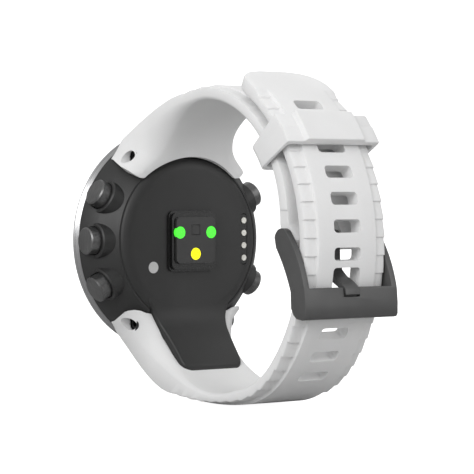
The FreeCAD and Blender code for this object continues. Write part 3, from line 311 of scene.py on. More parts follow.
# Sizes are in mm. The grain of moulded, blasted and brushed faces is drawn coarser than real, so that it shows.
finishes = {
    # glass-filled nylon, moulded on a spark-eroded tool: an even matt black-grey with a fine dry grain
    "case_polymer": ("mouldedNylonCase", {"low": "#252525", "high": "#2b2b2b", "gloss": (0.42, 0.56),
                     "grainMm": 0.14, "toneMm": 9, "depthMm": 0.02, "bump": 0.25, "shader": {"IOR": 1.53}}),
    # stainless steel, turned and brushed round its axis: fine rings that draw a soft streak of light
    "bezel_steel": ("turnedSteelBezel", {"low": "#9a9a9b", "high": "#b9b9ba", "gloss": (0.24, 0.4), "turned": True,
                    "grainMm": 0.12, "toneMm": 14, "depthMm": 0.008, "grainTone": 0.6, "shader": {"Metallic": 1.0}}),
    # steel with a dark plating, brushed across its face: short streaks, a little lighter than the case
    "button_steel": ("brushedSteelButton", {"low": "#585858", "high": "#7c7c7c", "gloss": (0.3, 0.46),
                     "stretch": (0.25, 1, 0.06), "grainMm": 0.16, "toneMm": 4, "depthMm": 0.012,
                     "grainTone": 0.75, "shader": {"Metallic": 0.85}}),
    # steel, bead-blasted and dark-plated: satin, with hardly any grain
    "buckle_steel": ("satinSteelBuckle", {"low": "#575757", "high": "#626262", "gloss": (0.42, 0.54),
                     "grainMm": 0.1, "toneMm": 8, "depthMm": 0.006, "grainTone": 0.3, "shader": {"Metallic": 0.55}}),
    # silicone rubber, moulded on a blasted tool: soft white, faintly translucent, dry to the eye
    "strap_silicone": ("mouldedSiliconeStrap", {"low": "#e6e6e6", "high": "#eeeeee", "gloss": (0.5, 0.64),
                       "grainMm": 0.18, "toneMm": 12, "depthMm": 0.012, "bump": 0.2,
                       "shader": {"Subsurface Weight": 0.12, "Subsurface Radius": (1.0, 0.95, 0.9),
                                  "Subsurface Scale": 0.0012, "IOR": 1.41, "Specular IOR Level": 0.4}}),
    # hard-coated acrylic over the sensor, moulded and polished: near black with a clean gloss
    "window_glass": ("polishedAcrylicWindow", {"low": "#353535", "high": "#3a3a3a", "gloss": (0.16, 0.26),
                     "grainMm": 0.3, "toneMm": 6, "depthMm": 0.002, "shader": {"IOR": 1.49}}),
    # black polycarbonate, moulded semi-gloss: a dark edge with a thin line of light
    "black_plastic": ("mouldedPolycarbonateTrim", {"low": "#0c0c0c", "high": "#131313", "gloss": (0.24, 0.36),
                      "grainMm": 0.2, "toneMm": 5, "depthMm": 0.006, "shader": {"IOR": 1.58}}),
    # clear epoxy over a lit lamp, cast: an even bright colour
    "green_lens": ("castEpoxyGreenLamp", {"low": "#30d828", "high": "#40e836", "gloss": (0.2, 0.3),
                   "grainMm": 0.3, "toneMm": 2, "depthMm": 0.004,
                   "shader": {"Emission Color": green, "Emission Strength": 0.75}}),
    "amber_lens": ("castEpoxyYellowLamp", {"low": "#f0e800", "high": "#fff600", "gloss": (0.2, 0.3),
                   "grainMm": 0.3, "toneMm": 2, "depthMm": 0.004,
                   "shader": {"Emission Color": yellow, "Emission Strength": 0.75}}),
    # sintered polymer disc: a pale grey speckle
    "vent_membrane": ("sinteredPolymerVent", {"low": "#c0c0c0", "high": "#d4d4d4", "gloss": (0.6, 0.75),
                      "grainMm": 0.16, "toneMm": 1.5, "depthMm": 0.02, "grainTone": 0.7}),
    # brass pads, plated with nickel: small, bright and slightly warm
    "contact_gold": ("platedBrassContact", {"low": "#d4d2ca", "high": "#ecebe6", "gloss": (0.2, 0.32),
                     "grainMm": 0.08, "toneMm": 1, "depthMm": 0.004, "shader": {"Metallic": 0.8}}),
    # stainless steel, cold-headed: bright with fine turning marks
    "screw_steel": ("headedSteelScrew", {"low": "#3c3c3d", "high": "#4c4c4e", "gloss": (0.3, 0.44),
                    "grainMm": 0.1, "toneMm": 2, "depthMm": 0.006, "shader": {"Metallic": 1.0}}),
    # sintered tungsten: dull and heavy grey
    "weight_metal": ("sinteredTungstenWeight", {"low": "#78736c", "high": "#88837b", "gloss": (0.45, 0.6),
                     "grainMm": 0.1, "toneMm": 2, "depthMm": 0.008, "shader": {"Metallic": 1.0}}),
    # glass-epoxy board with a solder mask: smooth green over a faint weave
    "circuit_board": ("maskedEpoxyBoard", {"low": "#0d3a22", "high": "#13492c", "gloss": (0.28, 0.4),
                      "grainMm": 0.4, "toneMm": 4, "depthMm": 0.01}),
    # epoxy chip bodies, transfer-moulded: dark and dry
    "chip_epoxy": ("mouldedEpoxyChip", {"low": "#161616", "high": "#1e1e1e", "gloss": (0.5, 0.62),
                   "grainMm": 0.1, "toneMm": 2, "depthMm": 0.008}),
    # laminated aluminium pouch, rolled: silvery, with a slight wrinkle
    "battery_foil": ("rolledFoilPouch", {"low": "#9c9ea1", "high": "#b4b6b9", "gloss": (0.26, 0.4),
                     "stretch": (1, 1, 0.3), "grainMm": 1.2, "toneMm": 6, "depthMm": 0.03,
                     "shader": {"Metallic": 0.9}}),
    # nitrile rubber, moulded: flat black
    "seal_rubber": ("mouldedNitrileSeal", {"low": "#101010", "high": "#181818", "gloss": (0.55, 0.7),
                    "grainMm": 0.12, "toneMm": 2, "depthMm": 0.008, "shader": {"IOR": 1.52}}),
    # reflective display film, coated: near black, slightly cool
    "display_film": ("coatedDisplayFilm", {"low": "#0c0f11", "high": "#111517", "gloss": (0.2, 0.28),
                     "grainMm": 0.25, "toneMm": 7, "depthMm": 0.001}),
    # mineral glass, ground and polished: clear, with a faint film of handling
    "crystal_glass": ("polishedMineralGlass", {"low": "#f4f7f8", "high": "#ffffff", "gloss": (0.01, 0.03),
                      "grainMm": 2.0, "toneMm": 10, "depthMm": 0.0005,
                      "shader": {"Transmission Weight": 1.0, "IOR": 1.52}}),
}
materials = {slot: buildFinish(name, settings) for slot, (name, settings) in finishes.items()}

for part in frame["record"]["subparts"]:
    shown = nodes[part["node"]]
    if not shown.material_slots:
        shown.data.materials.append(None)
    for place in shown.material_slots:
        place.material = materials[part["material_slot"]]
print("materials ready:", len(materials))


def finishPiece(piece, slot, body, *stoodFor):  # finish, body and the CAD nodes that a new piece stands for
    piece.data.materials.clear()
    piece.data.materials.append(materials[slot])
    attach(piece, body)
    if stoodFor:
        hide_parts(*stoodFor)


# strap: two moulded pieces with a smooth middle band and shingled sides

strapForm = {
    "bandHalf": 7.0, "step": 0.35, "ridgePitch": 3.5,
    "sideRim": 0.55, "outerRound": 0.35, "thick": 2.9, "sampleMm": 0.7, "flareFrom": 3.0, "seatRound": 0.7,
}
shortForm = {
    "centre": (4.5, 3.9), "innerRadius": 24.2, "shoulder": (29.6, 20.6), "bend": (18.8, 27.4),
    "innerBend": (16.9, 22.6), "root": (22.3, 13.0), "eye": (-22.5, 0.9), "eyeRadius": 2.0,
    "half": 9.9, "boreRadius": 1.02, "slotHalf": 2.2, "shoulderHalf": 9.657,
    "flare": [(14.8, 16.5), (16.2, 15.3), (18.8, 13.3), (22.0, 11.7), (26.0, 10.5), (30.5, 9.9)],
    "innerRound": [(14.0, 3.9), (22.0, 4.3), (28.0, 2.4), (31.0, 0.7)], "recess": 0.55, "ridge": 0.28,
}
tailForm = {
    "centre": (7.65, -0.15), "outerRadius": 36.0, "tip": 111.0,
    "chain": ((36.0, 112.6), (21.4, 39.0), (72.9, 15.9), (19.8, 60.0)),  # radius and sweep of each arc in turn
    "root": (24.0, -12.4), "bend": (15.7, -24.8), "headTop": 29.6, "half": 9.8, "tipRound": 6.0,
    "flare": [(15.0, 16.5), (16.6, 15.1), (19.5, 13.1), (23.5, 11.3), (27.5, 10.3), (31.5, 9.8)],
    "innerRound": [(14.0, 3.9), (22.0, 4.0), (29.0, 2.0), (33.0, 0.7)], "recess": 0.85, "ridge": 0.36,
    "slotFirst": 132.0, "slotPitch": 8.435, "slotCount": 12, "slotWide": 6.5, "slotTall": 2.5,
    "slotRound": 0.75, "prongSlot": 7, "prongStretch": 2.6, "prongShift": 0.3,
}


def strapRing(outer, inner, half, recess, ridge, innerRound):
    # One closed section: outer face with its band and recessed sides, then the rounded inner face.
    f = strapForm
    thick = math.dist(outer, inner)
    way = ((inner[0] - outer[0]) / thick, (inner[1] - outer[1]) / thick)
    innerX = min(innerRound, half * 0.45)
    innerD = min(innerRound, (thick - recess) * 0.62)
    side = recess - ridge if recess > 0.02 else 0.0
    lip = min(0.1 + f["outerRound"], thick * 0.4)
    band = min(f["bandHalf"], half * 0.72)
    rim = half - f["sideRim"]
    profile = [(0.0, 0.0), (band * 0.5, 0.0), (band - 0.25, 0.0), (band - 0.06, 0.04 * min(1, recess)),
               (band + f["step"] * 0.35, side * 0.8), (band + f["step"], side), (band + (rim - band) * 0.6, side),
               (rim - 0.05, side), (half - f["outerRound"] * 0.35, side + lip * 0.4),
               (half, side + lip)]
    for i in range(7):
        turn = math.radians(90 * i / 6)
        # a soft corner, part arc and part chamfer
        down = (1 - math.sin(turn)) * 0.65 + (1 - i / 6) * 0.35
        aside = (1 - math.cos(turn)) * 0.65 + i / 6 * 0.35
        profile.append((half - innerX * aside, thick - innerD * down))
    profile += [((half - innerX) * 0.6, thick), ((half - innerX) * 0.25, thick), (0.0, thick)]
    return [(x, outer[0] + way[0] * d, outer[1] + way[1] * d) for x, d in mirrored(profile)]


def ridgeAt(length):  # height of the shingles at a length along the strap
    share = (length / strapForm["ridgePitch"]) % 1.0
    return min(share / 0.96, (1 - share) / 0.04)


def stations(outer, inner):  # pairs of points, closer together beside each shingle's step
    total = lengthOf(outer)
    places = [i * strapForm["sampleMm"] for i in range(int(total / strapForm["sampleMm"]) + 1)]
    for k in range(1, int(total / strapForm["ridgePitch"]) + 1):
        places += [k * strapForm["ridgePitch"] - 0.2, k * strapForm["ridgePitch"]]
    places = sorted(set(round(p, 4) for p in places if p < total) | {total})
    fine = 2001
    outerLine, innerLine = alongLine(outer, fine), alongLine(inner, fine)
    for place in places:
        index = round(place / total * (fine - 1))
        yield place, total, outerLine[index], innerLine[index]


def strapSections(form, runs, recessTable, ridged, tip=False):
    # runs are (outer, inner) polylines, each pair matched by its share of length.
    rings, start = [], 0.0
    for run, (outer, inner) in enumerate(runs):
        for place, total, o, i in stations(outer, inner):
            if run and place == 0.0:
                continue
            length = start + place
            high = abs(o[1])
            flare = o[0] > strapForm["flareFrom"]
            half = between(form["flare"], high) if flare else form["half"]
            roundness = between(form["innerRound"], high) if flare else strapForm["seatRound"]
            if tip and length < form["tipRound"]:
                back = 1 - length / form["tipRound"]
                half = half - form["tipRound"] * (1 - math.sqrt(max(1 - back * back, 0.0)))
            recess = between(recessTable, length)
            ridge = ridgeAt(length) * form["ridge"] * min(1.0, recess / form["recess"]) if ridged(length) else 0.0
            rings.append(strapRing(o, i, half, recess, ridge, roundness))
        start += total
    return rings


caseForm = {  # the wall of the case beside the strap, as radius and height in Y
    "seam": 17.05, "gap": 0.12, "seamTop": 22.9, "shoulder": (17.35, 22.95),
    "wall": ((20.3, 26.4), (21.38, 28.14), (22.25, 30.2)),
}
hornForm = {  # half plans as (x, z), upper and lower end of the case
    "upper": [(0.0, 9.0), (9.6, 13.0), (10.7, 12.95), (11.6, 12.75), (12.5, 12.8), (13.6, 13.35), (15.0, 14.35),
              (16.6, 15.72), (25.0, 20.0), (25.0, 60.0)],
    "lower": [(0.0, 9.0), (8.9, 15.1), (10.3, 14.75), (11.6, 14.2), (13.0, 13.92), (14.1, 13.95), (15.3, 14.75),
              (16.6, 15.85), (25.0, 20.0), (25.0, 60.0)],
    "slips": ((10.0, -2.0), (22.8, 0.0), (25.4, 0.5), (29.0, 2.4), (45.0, 2.4)), "slipFrom": 9.0,
    "boreY": 25.3, "boreZ": 17.0, "boreSteps": ((10.2, 1.62), (12.05, 1.62), (12.06, 1.3), (24.0, 1.3)),
}


def caseRoom(s):  # the wall of the case and its back, as a tool
    (shoulderR, shoulderY), top = s["shoulder"], s["wall"][-1][1]
    arc = arcThrough(*[(r + s["gap"], y) for r, y in s["wall"]], 8)
    return latheFrom("caseTool", [(0.0, 14.0), (s["seam"], 14.0), (s["seam"], s["seamTop"]),
                                  (shoulderR + s["gap"], shoulderY)] + arc + [(0.0, top)])


def hornPlan(s, sign):  # plan of a strap end; its wall slopes back from its edge beside the case
    points = s["upper"] if sign > 0 else s["lower"]
    outline = points + [(-x, z) for x, z in points[:0:-1]]
    rings = []
    for level, slip in s["slips"]:
        rings.append([(x, level, (z + (slip if abs(x) > s["slipFrom"] and z < 30 else 0.0)) * sign)
                      for x, z in outline])
    return loftFrom("headTool", rings)


def headTool(s, sign):  # all that a strap may fill: its end's plan, and everything nearer the buckle
    head = hornPlan(s, sign)
    carve(head, prismFrom("nearTool", cornersOf(-60, -60, 10.01, 60), "x", -30, 30), "UNION")
    return head


def sideBores(s, sign):  # stepped holes for the strap screws and their bushes
    tools = []
    for side in (-1, 1):
        rings = [[(side * x, y, z) for y, z in circleAt((s["boreY"], s["boreZ"] * sign), r, 32)]
                 for x, r in s["boreSteps"]]
        tools.append(loftFrom("boreTool", rings))
    return tools


def makeShortStrap(s):
    centre, inner = s["centre"], s["innerRadius"]
    outer = inner + strapForm["thick"]
    crestOut, crestIn = (centre[0], centre[1] + outer), (centre[0], centre[1] + inner)
    headOut = [(s["shoulder"][0], 9.0)] + arcThrough(s["shoulder"], s["bend"], crestOut, 60)
    headIn = [(s["root"][0] + 0.3, 9.0)] + arcThrough(s["root"], s["innerBend"], crestIn, 60)
    eyeY, eyeZ = s["eye"]
    loopOut = arcPoints(centre, outer, 90, 180, 90) + [(eyeY - s["eyeRadius"], eyeZ)]
    loopIn = arcPoints(centre, inner, 90, 180, 90) + [(eyeY + s["eyeRadius"], eyeZ)]
    length, deep = lengthOf(headOut), s["recess"]
    total = length + lengthOf(loopOut)
    table = [(length - 11.5, 0.0), (length - 6.5, deep), (total - 20.0, deep), (total - 11.0, 0.0)]
    rings = strapSections(s, [(headOut, headIn), (loopOut, loopIn)], table,
                          lambda at: length - 11.0 < at < total - 20.0)
    for turn in (20, 40, 60, 75, 85):  # the round end under the spring bar
        t, reach = math.radians(turn), s["eyeRadius"]
        y, z = reach * math.cos(t), eyeZ - reach * math.sin(t)
        rings.append(strapRing((eyeY - y, z), (eyeY + y, z), s["half"], 0.0, 0.0, 0.15 * math.cos(t)))
    strap = loftFrom("shortStrap", rings)
    # The tools' odd offsets keep every cut off the faces that are already there.
    carve(strap, prismFrom("prongTool", cornersOf(-40.3, -2.63, -19.07, 4.23), "x",
                           -s["slotHalf"] - 0.013, s["slotHalf"] + 0.013))
    for side in (-1, 1):  # shoulders that clear the buckle's arms
        carve(strap, prismFrom("armTool", cornersOf(-40.3, -6.03, -10.07, 6.53), "x",
                               *sorted((side * s["shoulderHalf"], side * 20.0))))
    carve(strap, headTool(hornForm, 1), "INTERSECT")
    carve(strap, caseRoom(caseForm))
    for tool in sideBores(hornForm, 1):
        carve(strap, tool)
    for side in (-1, 1):
        carve(strap, prismFrom("barTool", circleAt(s["eye"], s["boreRadius"], 24, 3), "x",
                               *sorted((side * 1.9, side * 20.0))))
    finishPiece(strap, "strap_silicone", "case", "strap_short")


def tailRuns(s):
    centre, radius, angle = Vector((s["centre"][0], s["centre"][1])), s["outerRadius"], s["tip"]
    outerRuns, innerRuns = [], []
    for nextRadius, sweep in s["chain"]:
        t = math.radians(angle)
        joint = centre + Vector((math.cos(t), math.sin(t))) * radius
        centre = joint - Vector((math.cos(t), math.sin(t))) * nextRadius
        outerRuns.append(arcPoints(centre, nextRadius, angle, angle + sweep, 90))
        innerRuns.append(arcPoints(centre, nextRadius - strapForm["thick"], angle, angle + sweep, 90))
        radius, angle = nextRadius, angle + sweep
    headOut = outerRuns[2] + outerRuns[3][1:] + [(s["headTop"], outerRuns[3][-1][1] + 1.5), (s["headTop"], -9.0)]
    headIn = arcThrough(innerRuns[1][-1], s["bend"], s["root"], 90) + [(s["root"][0] + 0.3, -9.0)]
    return [(outerRuns[0], innerRuns[0]), (outerRuns[1], innerRuns[1]), (headOut, headIn)]


def slotTools(s):  # one tool for all the slots; the prong's own slot is taller
    vertices, faces = [], []
    middle = s["outerRadius"] - strapForm["thick"] / 2
    for number in range(s["slotCount"]):
        angle, tall = s["slotFirst"] + number * s["slotPitch"], s["slotTall"]
        if number == s["prongSlot"]:
            tall += s["prongStretch"]
            angle -= s["prongShift"]
        t = math.radians(angle)
        out, along = Vector((math.cos(t), math.sin(t))), Vector((-math.sin(t), math.cos(t)))
        centre = Vector(s["centre"]) + out * middle
        base = len(vertices)
        outline = roundedBox(s["slotWide"] / 2, -tall / 2, tall / 2, s["slotRound"])
        for reach in (-4.0, 4.0):
            for x, v in outline:
                p = centre + out * reach + along * v
                vertices.append((x, p.x, p.y))
        count = len(outline)
        faces += [(base + c, base + (c + 1) % count, base + count + (c + 1) % count, base + count + c)
                  for c in range(count)]
        faces += [tuple(range(base, base + count))[::-1], tuple(range(base + count, base + 2 * count))]
    return pieceFrom("slotTool", vertices, faces)


tongueForm = {  # its line is (y, z); its half width is given by height
    "line": [(22.06, -11.0), (22.04, -13.4), (21.85, -15.2), (21.35, -16.6), (20.4, -17.9), (19.0, -19.4),
             (17.4, -21.2), (15.8, -23.0), (14.3, -24.9), (13.15, -26.5)],
    "half": [(-26.5, 7.5), (-24.3, 7.5), (-21.5, 7.65), (-18.7, 8.0), (-16.4, 8.6), (-14.0, 9.4), (-12.0, 10.4)],
    "thick": 1.6, "edge": 0.55, "corner": 3.0, "lip": 0.4,
}


def tongueFrom(name, s, grow):  # the back cover's tongue, or its bed where it is grown
    line = alongLine(s["line"], 61)
    line = [tuple(sum(line[min(max(i + k, 0), 60)][c] for k in (-3, -2, -1, 0, 1, 2, 3)) / 7 for c in (0, 1))
            for i in range(61)]
    total = lengthOf(line)
    rings = []
    for i, (y, z) in enumerate(line):
        a, b = line[max(i - 1, 0)], line[min(i + 1, 60)]
        way = Vector((b[0] - a[0], b[1] - a[1])).normalized()
        side = Vector((-way.y, way.x))  # towards the strap
        if side.x < 0:
            side = -side
        left = total - lengthOf(line[:i + 1])
        half = between(s["half"], z) + grow
        if left < s["corner"]:
            back = 1 - left / s["corner"]
            half -= s["corner"] * (1 - math.sqrt(max(1 - back * back, 0.0)))
        ease = min(max((1.5 - left) / 0.6, 0.0), 1.0)  # a low step across the tip, then its rounded end
        dip = s["lip"] * ease * ease * (3 - 2 * ease) + max(0.0, 0.4 - left) * 0.9
        edge = s["edge"]
        profile = [(0.0, dip - grow)]
        for turn in (90, 67.5, 45, 22.5, 0):
            t = math.radians(turn)
            profile.append((half - edge * (1 - math.cos(t)), edge * (1 - math.sin(t)) + dip - grow))
        profile += [(half, s["thick"] + grow), (0.0, s["thick"] + grow)]
        rings.append([(x, y + side.x * d, z + side.y * d) for x, d in mirrored(profile)])
    return loftFrom(name, rings)


backForm = {  # outlines as radius and height in Y
    "flat": [(0.0, 23.2), (15.3, 23.2), (15.3, 24.15), (16.85, 24.15), (16.85, 22.98)],
    "slope": ((16.85, 22.95), (15.8, 22.27), (14.4, 22.0)), "under": (15.62, 23.07),
    "window": (5.3, -5.4, 5.0, 0.8), "slotX": 13.6, "slot": (0.9, -5.38, 5.38, 0.89, 9),
    "vent": (-9.45, -5.5), "ventRadius": 1.2,
}


def makeBack(s, tongueSettings):  # dished back with its tongue, cut for the sensor, the contacts and the vent
    slope = arcThrough(*s["slope"], 10)
    shell = latheFrom("backShell", s["flat"] + slope[1:] + [(0.0, slope[-1][1])], 192)
    tongue = tongueFrom("tongue", tongueSettings, 0.0)
    underR, underY = s["under"]
    carve(tongue, latheFrom("underTool", [(0.0, underY), (underR, underY), (underR, 27.0), (0.0, 27.0)]))
    carve(shell, tongue, "UNION")
    carve(shell, prismFrom("windowTool", roundedBox(*s["window"]), "y", 20.0, 26.0))
    slot = [(x + s["slotX"], z) for x, z in roundedBox(*s["slot"])]
    carve(shell, prismFrom("contactTool", slot, "y", 20.0, 26.0))
    vent = [(x + s["vent"][0], z + s["vent"][1]) for x, z in circleAt((0, 0), s["ventRadius"], 40)]
    carve(shell, prismFrom("ventTool", vent, "y", 20.0, 26.0), creaseAngle=28)
    finishPiece(shell, "case_polymer", "case", "back_cover")


def makeTail(s):
    runs = tailRuns(s)
    total, deep = sum(lengthOf(outer) for outer, _ in runs), s["recess"]
    table = [(8.5, 0.0), (9.6, deep), (total - 31.5, deep), (total - 26.0, 0.0)]
    rings = strapSections(s, runs, table, lambda at: 8.6 < at < total - 26.0, tip=True)
    strap = loftFrom("longStrap", rings)
    carve(strap, slotTools(s))
    carve(strap, headTool(hornForm, -1), "INTERSECT")
    carve(strap, caseRoom(caseForm))
    carve(strap, tongueFrom("tongueBed", tongueForm, caseForm["gap"]))
    for tool in sideBores(hornForm, -1):
        carve(strap, tool)
    finishPiece(strap, "strap_silicone", "case", "strap_long")


makeShortStrap(shortForm)
print("short strap ready")
makeTail(tailForm)
print("long strap ready")
makeBack(backForm, tongueForm)
print("back ready")


# keeper: a moulded loop with a raised middle and stepped sides

keeperForm = {  # radii and angles about the tail's own centre
    "centre": (7.65, -0.15), "angle": 143.5, "reach": 5.19, "inner": 28.48, "outer": 36.4,
    "wall": 1.3, "side": 0.8, "half": 11.3, "bandHalf": 7.0, "band": 0.8, "edge": 0.1, "lowRound": 1.5,
    "stepAt": 0.45, "steps": (0.3, 0.12), "crease": 22,
}


def makeKeeper(s):
    low, high = s["inner"] - s["wall"], s["outer"] + s["wall"]

    def loop(inset, share):  # outer line, then the inner line, as (x, radius)
        half, top, base, band = s["half"] - inset, high - inset, low + inset, s["bandHalf"]
        step = s["steps"][share > s["stepAt"]]  # the sides have one low shingle
        right = [(0.0, top + s["band"]), (band - 0.25, top + s["band"]), (band, top + s["band"] - 0.2),
                 (band + 0.3, top - step + 0.1), (band + 0.5, top - step), (half - 0.5, top - step),
                 (half - 0.12, top - step - 0.15), (half, top - step - 0.5)]
        right += [(half - s["lowRound"] * (1 - math.cos(t)), base + s["lowRound"] * (1 - math.sin(t)))
                  for t in (math.radians(d) for d in (0, 22.5, 45, 67.5, 90))]
        outer = mirrored(right + [(0.0, base)])
        hx, top, base = s["half"] - s["side"] + inset * 0.4, s["outer"] + inset * 0.4, s["inner"] - inset * 0.4
        inner = roundedBox(hx, base, top, 0.7, 4)
        return outer, inner

    rows = []
    for share, inset in ((0.0, s["edge"]), (0.02, 0.03), (0.04, 0.0), (0.44, 0.0), (0.46, 0.0), (0.96, 0.0),
                         (0.98, 0.03), (1.0, s["edge"])):
        t = math.radians(s["angle"] - s["reach"] + 2 * s["reach"] * share)
        outer, inner = loop(inset, share)
        rows.append([[(x, s["centre"][0] + r * math.cos(t), s["centre"][1] + r * math.sin(t)) for x, r in line]
                     for line in (outer, inner)])
    def beyond(last, before):  # the hollow runs well past each end of the loop
        return [tuple(Vector(p) + (Vector(p) - Vector(q)) * 3) for p, q in zip(last[1], before[1])]

    body = loftFrom("strapKeeper", [row[0] for row in rows], s["crease"])
    hollow = loftFrom("keeperHollow", [beyond(rows[0], rows[2])] + [row[1] for row in rows[2:6]]
                      + [beyond(rows[-1], rows[-3])])
    carve(body, hollow, creaseAngle=s["crease"])
    bevelled(body, 0.12, 2, 50)
    soften(body, 24)
    finishPiece(body, "strap_silicone", "strap_keeper", "keeper")


makeKeeper(keeperForm)
print("keeper ready")


# buckle and prong: cast and bent steel with softened edges

buckleForm = {  # side view, as (y, z)
    "armOuter": 11.3, "armInner": 10.05, "bevel": 0.28, "notchHalf": 1.95, "head": (-22.4, 0.95), "headRadius": 2.15,
    "front": ((-24.3, 2.05), (-27.8, -3.6), (-29.4, -8.4)),
    "bar": [(-29.65, -11.2), (-29.62, -13.2), (-29.3, -13.75), (-28.6, -13.9), (-26.9, -13.7), (-26.0, -13.0),
            (-25.3, -11.8)],
    "rear": ((-25.15, -8.7), (-23.8, -5.6), (-20.75, -0.6)), "barTop": -8.0, "barBack": -27.85,
    "notch": [(-33, -9.75), (-28.7, -9.75), (-28.5, -7.0), (-33, -7.0)],
}
prongForm = {  # side view, as (y, z)
    "half": 1.7, "thick": 1.1, "bevel": 0.22, "eye": (-22.5, 0.9), "eyeRadius": 1.85, "boreRadius": 0.98,
    "line": [(-23.35, 0.9), (-23.45, -3.2), (-24.2, -5.2), (-25.7, -6.45), (-27.3, -7.25), (-28.5, -7.9),
             (-29.15, -8.45), (-29.3, -9.4)],
}


def makeBuckle(s):
    profile = (arcPoints(s["head"], s["headRadius"], 10, 150, 12) + arcThrough(*s["front"], 12)[1:] + s["bar"]
               + arcThrough(*s["rear"], 10))
    body = prismFrom("buckleFrame", profile, "x", -s["armOuter"], s["armOuter"])
    inner = s["armInner"]
    carve(body, prismFrom("upperTool", cornersOf(-45, s["barTop"], -10, 10.0), "x", -inner, inner))
    carve(body, prismFrom("behindTool", cornersOf(s["barBack"], -20.0, -10, 10.0), "x", -inner, inner))
    carve(body, prismFrom("notchTool", s["notch"], "x", -s["notchHalf"], s["notchHalf"]))
    bevelled(body, s["bevel"], 3, 40)
    finishPiece(body, "buckle_steel", "buckle", "buckle_frame")


def makeProng(s):
    line, rings = [], []
    for p, q in zip(s["line"], s["line"][1:]):  # each span gets its middle point, so that the bends are shared out
        line += [p, ((p[0] + q[0]) / 2, (p[1] + q[1]) / 2)]
    line.append(s["line"][-1])
    for i, (y, z) in enumerate(line):
        a, b = line[max(i - 1, 0)], line[min(i + 1, len(line) - 1)]
        way = Vector((b[0] - a[0], b[1] - a[1])).normalized()
        side = Vector((-way.y, way.x)) * s["thick"] / 2
        rings.append([(s["half"], y + side.x, z + side.y), (s["half"], y - side.x, z - side.y),
                      (-s["half"], y - side.x, z - side.y), (-s["half"], y + side.x, z + side.y)])
    strip = loftFrom("bucklePin", rings)
    carve(strip, prismFrom("eyeBody", circleAt(s["eye"], s["eyeRadius"], 32), "x", -s["half"], s["half"]), "UNION")
    carve(strip, prismFrom("eyeBore", circleAt(s["eye"], s["boreRadius"], 24), "x", -5, 5))
    bevelled(strip, s["bevel"], 3, 40)
    finishPiece(strip, "buckle_steel", "prong", "buckle_tongue")


makeBuckle(buckleForm)
makeProng(prongForm)
print("buckle ready")


# display: plain printed digits and hour marks under the crystal

dialForm = {"face": 0.03, "markOuter": 16.4, "markInner": 15.0, "markHalf": 0.28, "digits": "10:09", "digitMm": 8.6,
            "minuteShare": 0.4, "minuteInner": 15.9, "deep": 0.02}


def makeDial(s):
    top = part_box("display_panel")[1].y / mm + s["face"]
    vertices, faces = [], []
    for minute in range(60):
        long = minute % 5 == 0
        turn = math.radians(6 * minute)
        out, across = Vector((math.cos(turn), math.sin(turn))), Vector((-math.sin(turn), math.cos(turn)))
        inner = s["markInner"] if long else s["minuteInner"]
        half = s["markHalf"] if long else s["markHalf"] * s["minuteShare"]
        base = len(vertices)
        for level in (top - s["deep"], top):
            for reach, shift in ((inner, -half), (s["markOuter"], -half), (s["markOuter"], half), (inner, half)):
                p = out * reach + across * shift
                vertices.append((p.x, level, p.y))
        faces += [(base, base + 1, base + 2, base + 3), (base + 7, base + 6, base + 5, base + 4)]
        faces += [(base + c, base + 4 + c, base + 4 + (c + 1) % 4, base + (c + 1) % 4) for c in range(4)]
    marks = pieceFrom("hourMarks", vertices, faces)
    curve = bpy.data.curves.new("timeDigits", "FONT")
    curve.body = s["digits"]
    curve.size = s["digitMm"] * mm
    curve.align_x, curve.align_y = "CENTER", "CENTER"
    curve.extrude = 0.00001
    text = bpy.data.objects.new("timeDigitsText", curve)
    bpy.context.scene.collection.objects.link(text)
    # read from outside the dial: up is +Z and right is -X
    facing = Matrix(((-1, 0, 0, 0), (0, 0, 1, 0), (0, 1, 0, 0), (0, 0, 0, 1)))
    text.matrix_world = Matrix.Translation((0, top * mm, 0)) @ facing
    bpy.context.view_layer.update()
    graph = bpy.context.evaluated_depsgraph_get()
    mesh = bpy.data.meshes.new_from_object(text.evaluated_get(graph))
    mesh.transform(text.matrix_world)
    bpy.data.objects.remove(text)
    digits = bpy.data.objects.new("timeDigits", mesh)
    bpy.context.scene.collection.objects.link(digits)
    # screen ink: an even, slightly warm white, with a faint painted glow as though the print were lit from within
    glow = {"Emission Color": toLinear("#dfe6e8"), "Emission Strength": 0.25}
    ink = buildFinish("screenPrintedInkPaintedGlow", {"low": "#dfe3e4", "high": "#e9edee", "gloss": (0.4, 0.5), "grainMm": 0.2,
                                           "toneMm": 3, "depthMm": 0.002, "shader": glow})
    for piece in (marks, digits):
        piece.data.materials.clear()
        piece.data.materials.append(ink)
        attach(piece, "case")


makeDial(dialForm)
print("dial ready")


# studio: a pale round sweep, a soft sky and three soft lamps

studioForm = {"floorGap": 0.3, "radius": 1700.0, "bend": 500.0, "height": 900.0, "sky": 0.66, "glow": 0.97}


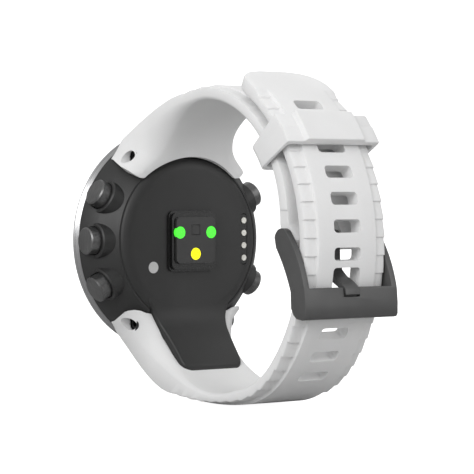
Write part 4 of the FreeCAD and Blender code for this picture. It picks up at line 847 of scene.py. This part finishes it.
def makeStudio(s):
    floor = cadBox[0].z / mm - s["floorGap"]
    reach, radius = s["radius"], s["bend"]
    profile = [(0.001, floor), (400.0, floor), (reach - radius, floor)]
    profile += [(reach - radius + radius * math.sin(t), floor + radius * (1 - math.cos(t)))
                for t in (math.radians(7.5 * i) for i in range(1, 13))]
    profile += [(reach, floor + s["height"])]
    count, sides = len(profile), 96
    vertices = [(r * math.cos(2 * math.pi * k / sides), r * math.sin(2 * math.pi * k / sides), z)
                for k in range(sides) for r, z in profile]
    faces = [(k * count + i, k * count + i + 1, (k + 1) % sides * count + i + 1, (k + 1) % sides * count + i)
             for k in range(sides) for i in range(count - 1)]
    sweep = pieceFrom("paperSweep", vertices, faces)
    # matt coated paper: an even white, with the least tooth, drawn coarser than real paper's so that it shows
    paper, tree, place = emptyMaterial("coatedPaperSweep")
    tooth = addNode(tree, "ShaderNodeTexNoise", {"Scale": 1 / (1.5 * mm)}, {"Vector": place})
    bump = addNode(tree, "ShaderNodeBump", {"Strength": 0.05, "Distance": 0.00005}, {"Height": tooth.outputs["Fac"]})
    shader = addNode(tree, "ShaderNodeBsdfPrincipled",
                     {"Base Color": toLinear("#a8a8a8"), "Roughness": 0.9, "Specular IOR Level": 0.2,
                      "Emission Color": (1, 1, 1, 1), "Emission Strength": s["glow"]}, {"Normal": bump.outputs[0]})
    addNode(tree, "ShaderNodeOutputMaterial", links={"Surface": shader.outputs[0]})
    sweep.data.materials.append(paper)
    lit = bpy.data.collections.new("litBySweep")  # the paper's glow stays on the paper
    lit.objects.link(sweep)
    sweep.light_linking.receiver_collection = lit
    world = bpy.data.worlds.new("studioSky")
    world.use_nodes = True
    world.node_tree.nodes["Background"].inputs["Color"].default_value = (1, 1, 1, 1)
    world.node_tree.nodes["Background"].inputs["Strength"].default_value = s["sky"]
    bpy.context.scene.world = world
    bpy.context.scene.view_settings.view_transform = "Standard"  # product colours, without a film curve


lampForms = (  # place in mm, watts and width in mm
    {"name": "keyLamp", "place": (-620, -300, 330), "watts": 2.8, "width": 420},
    {"name": "fillLamp", "place": (330, -660, 250), "watts": 1.1, "width": 500},
    {"name": "rimLamp", "place": (420, 420, 420), "watts": 0.6, "width": 420},
)


def makeLamp(s):
    data = bpy.data.lights.new(s["name"], "AREA")
    data.energy = s["watts"]
    data.size = s["width"] * mm
    lamp = bpy.data.objects.new(s["name"], data)
    lamp.location = Vector(s["place"]) * mm
    lamp.rotation_euler = (-Vector(s["place"])).to_track_quat("-Z", "Y").to_euler()
    lamp.visible_camera = False
    bpy.context.scene.collection.objects.link(lamp)


makeStudio(studioForm)
for lampForm in lampForms:
    makeLamp(lampForm)
print("studio ready")
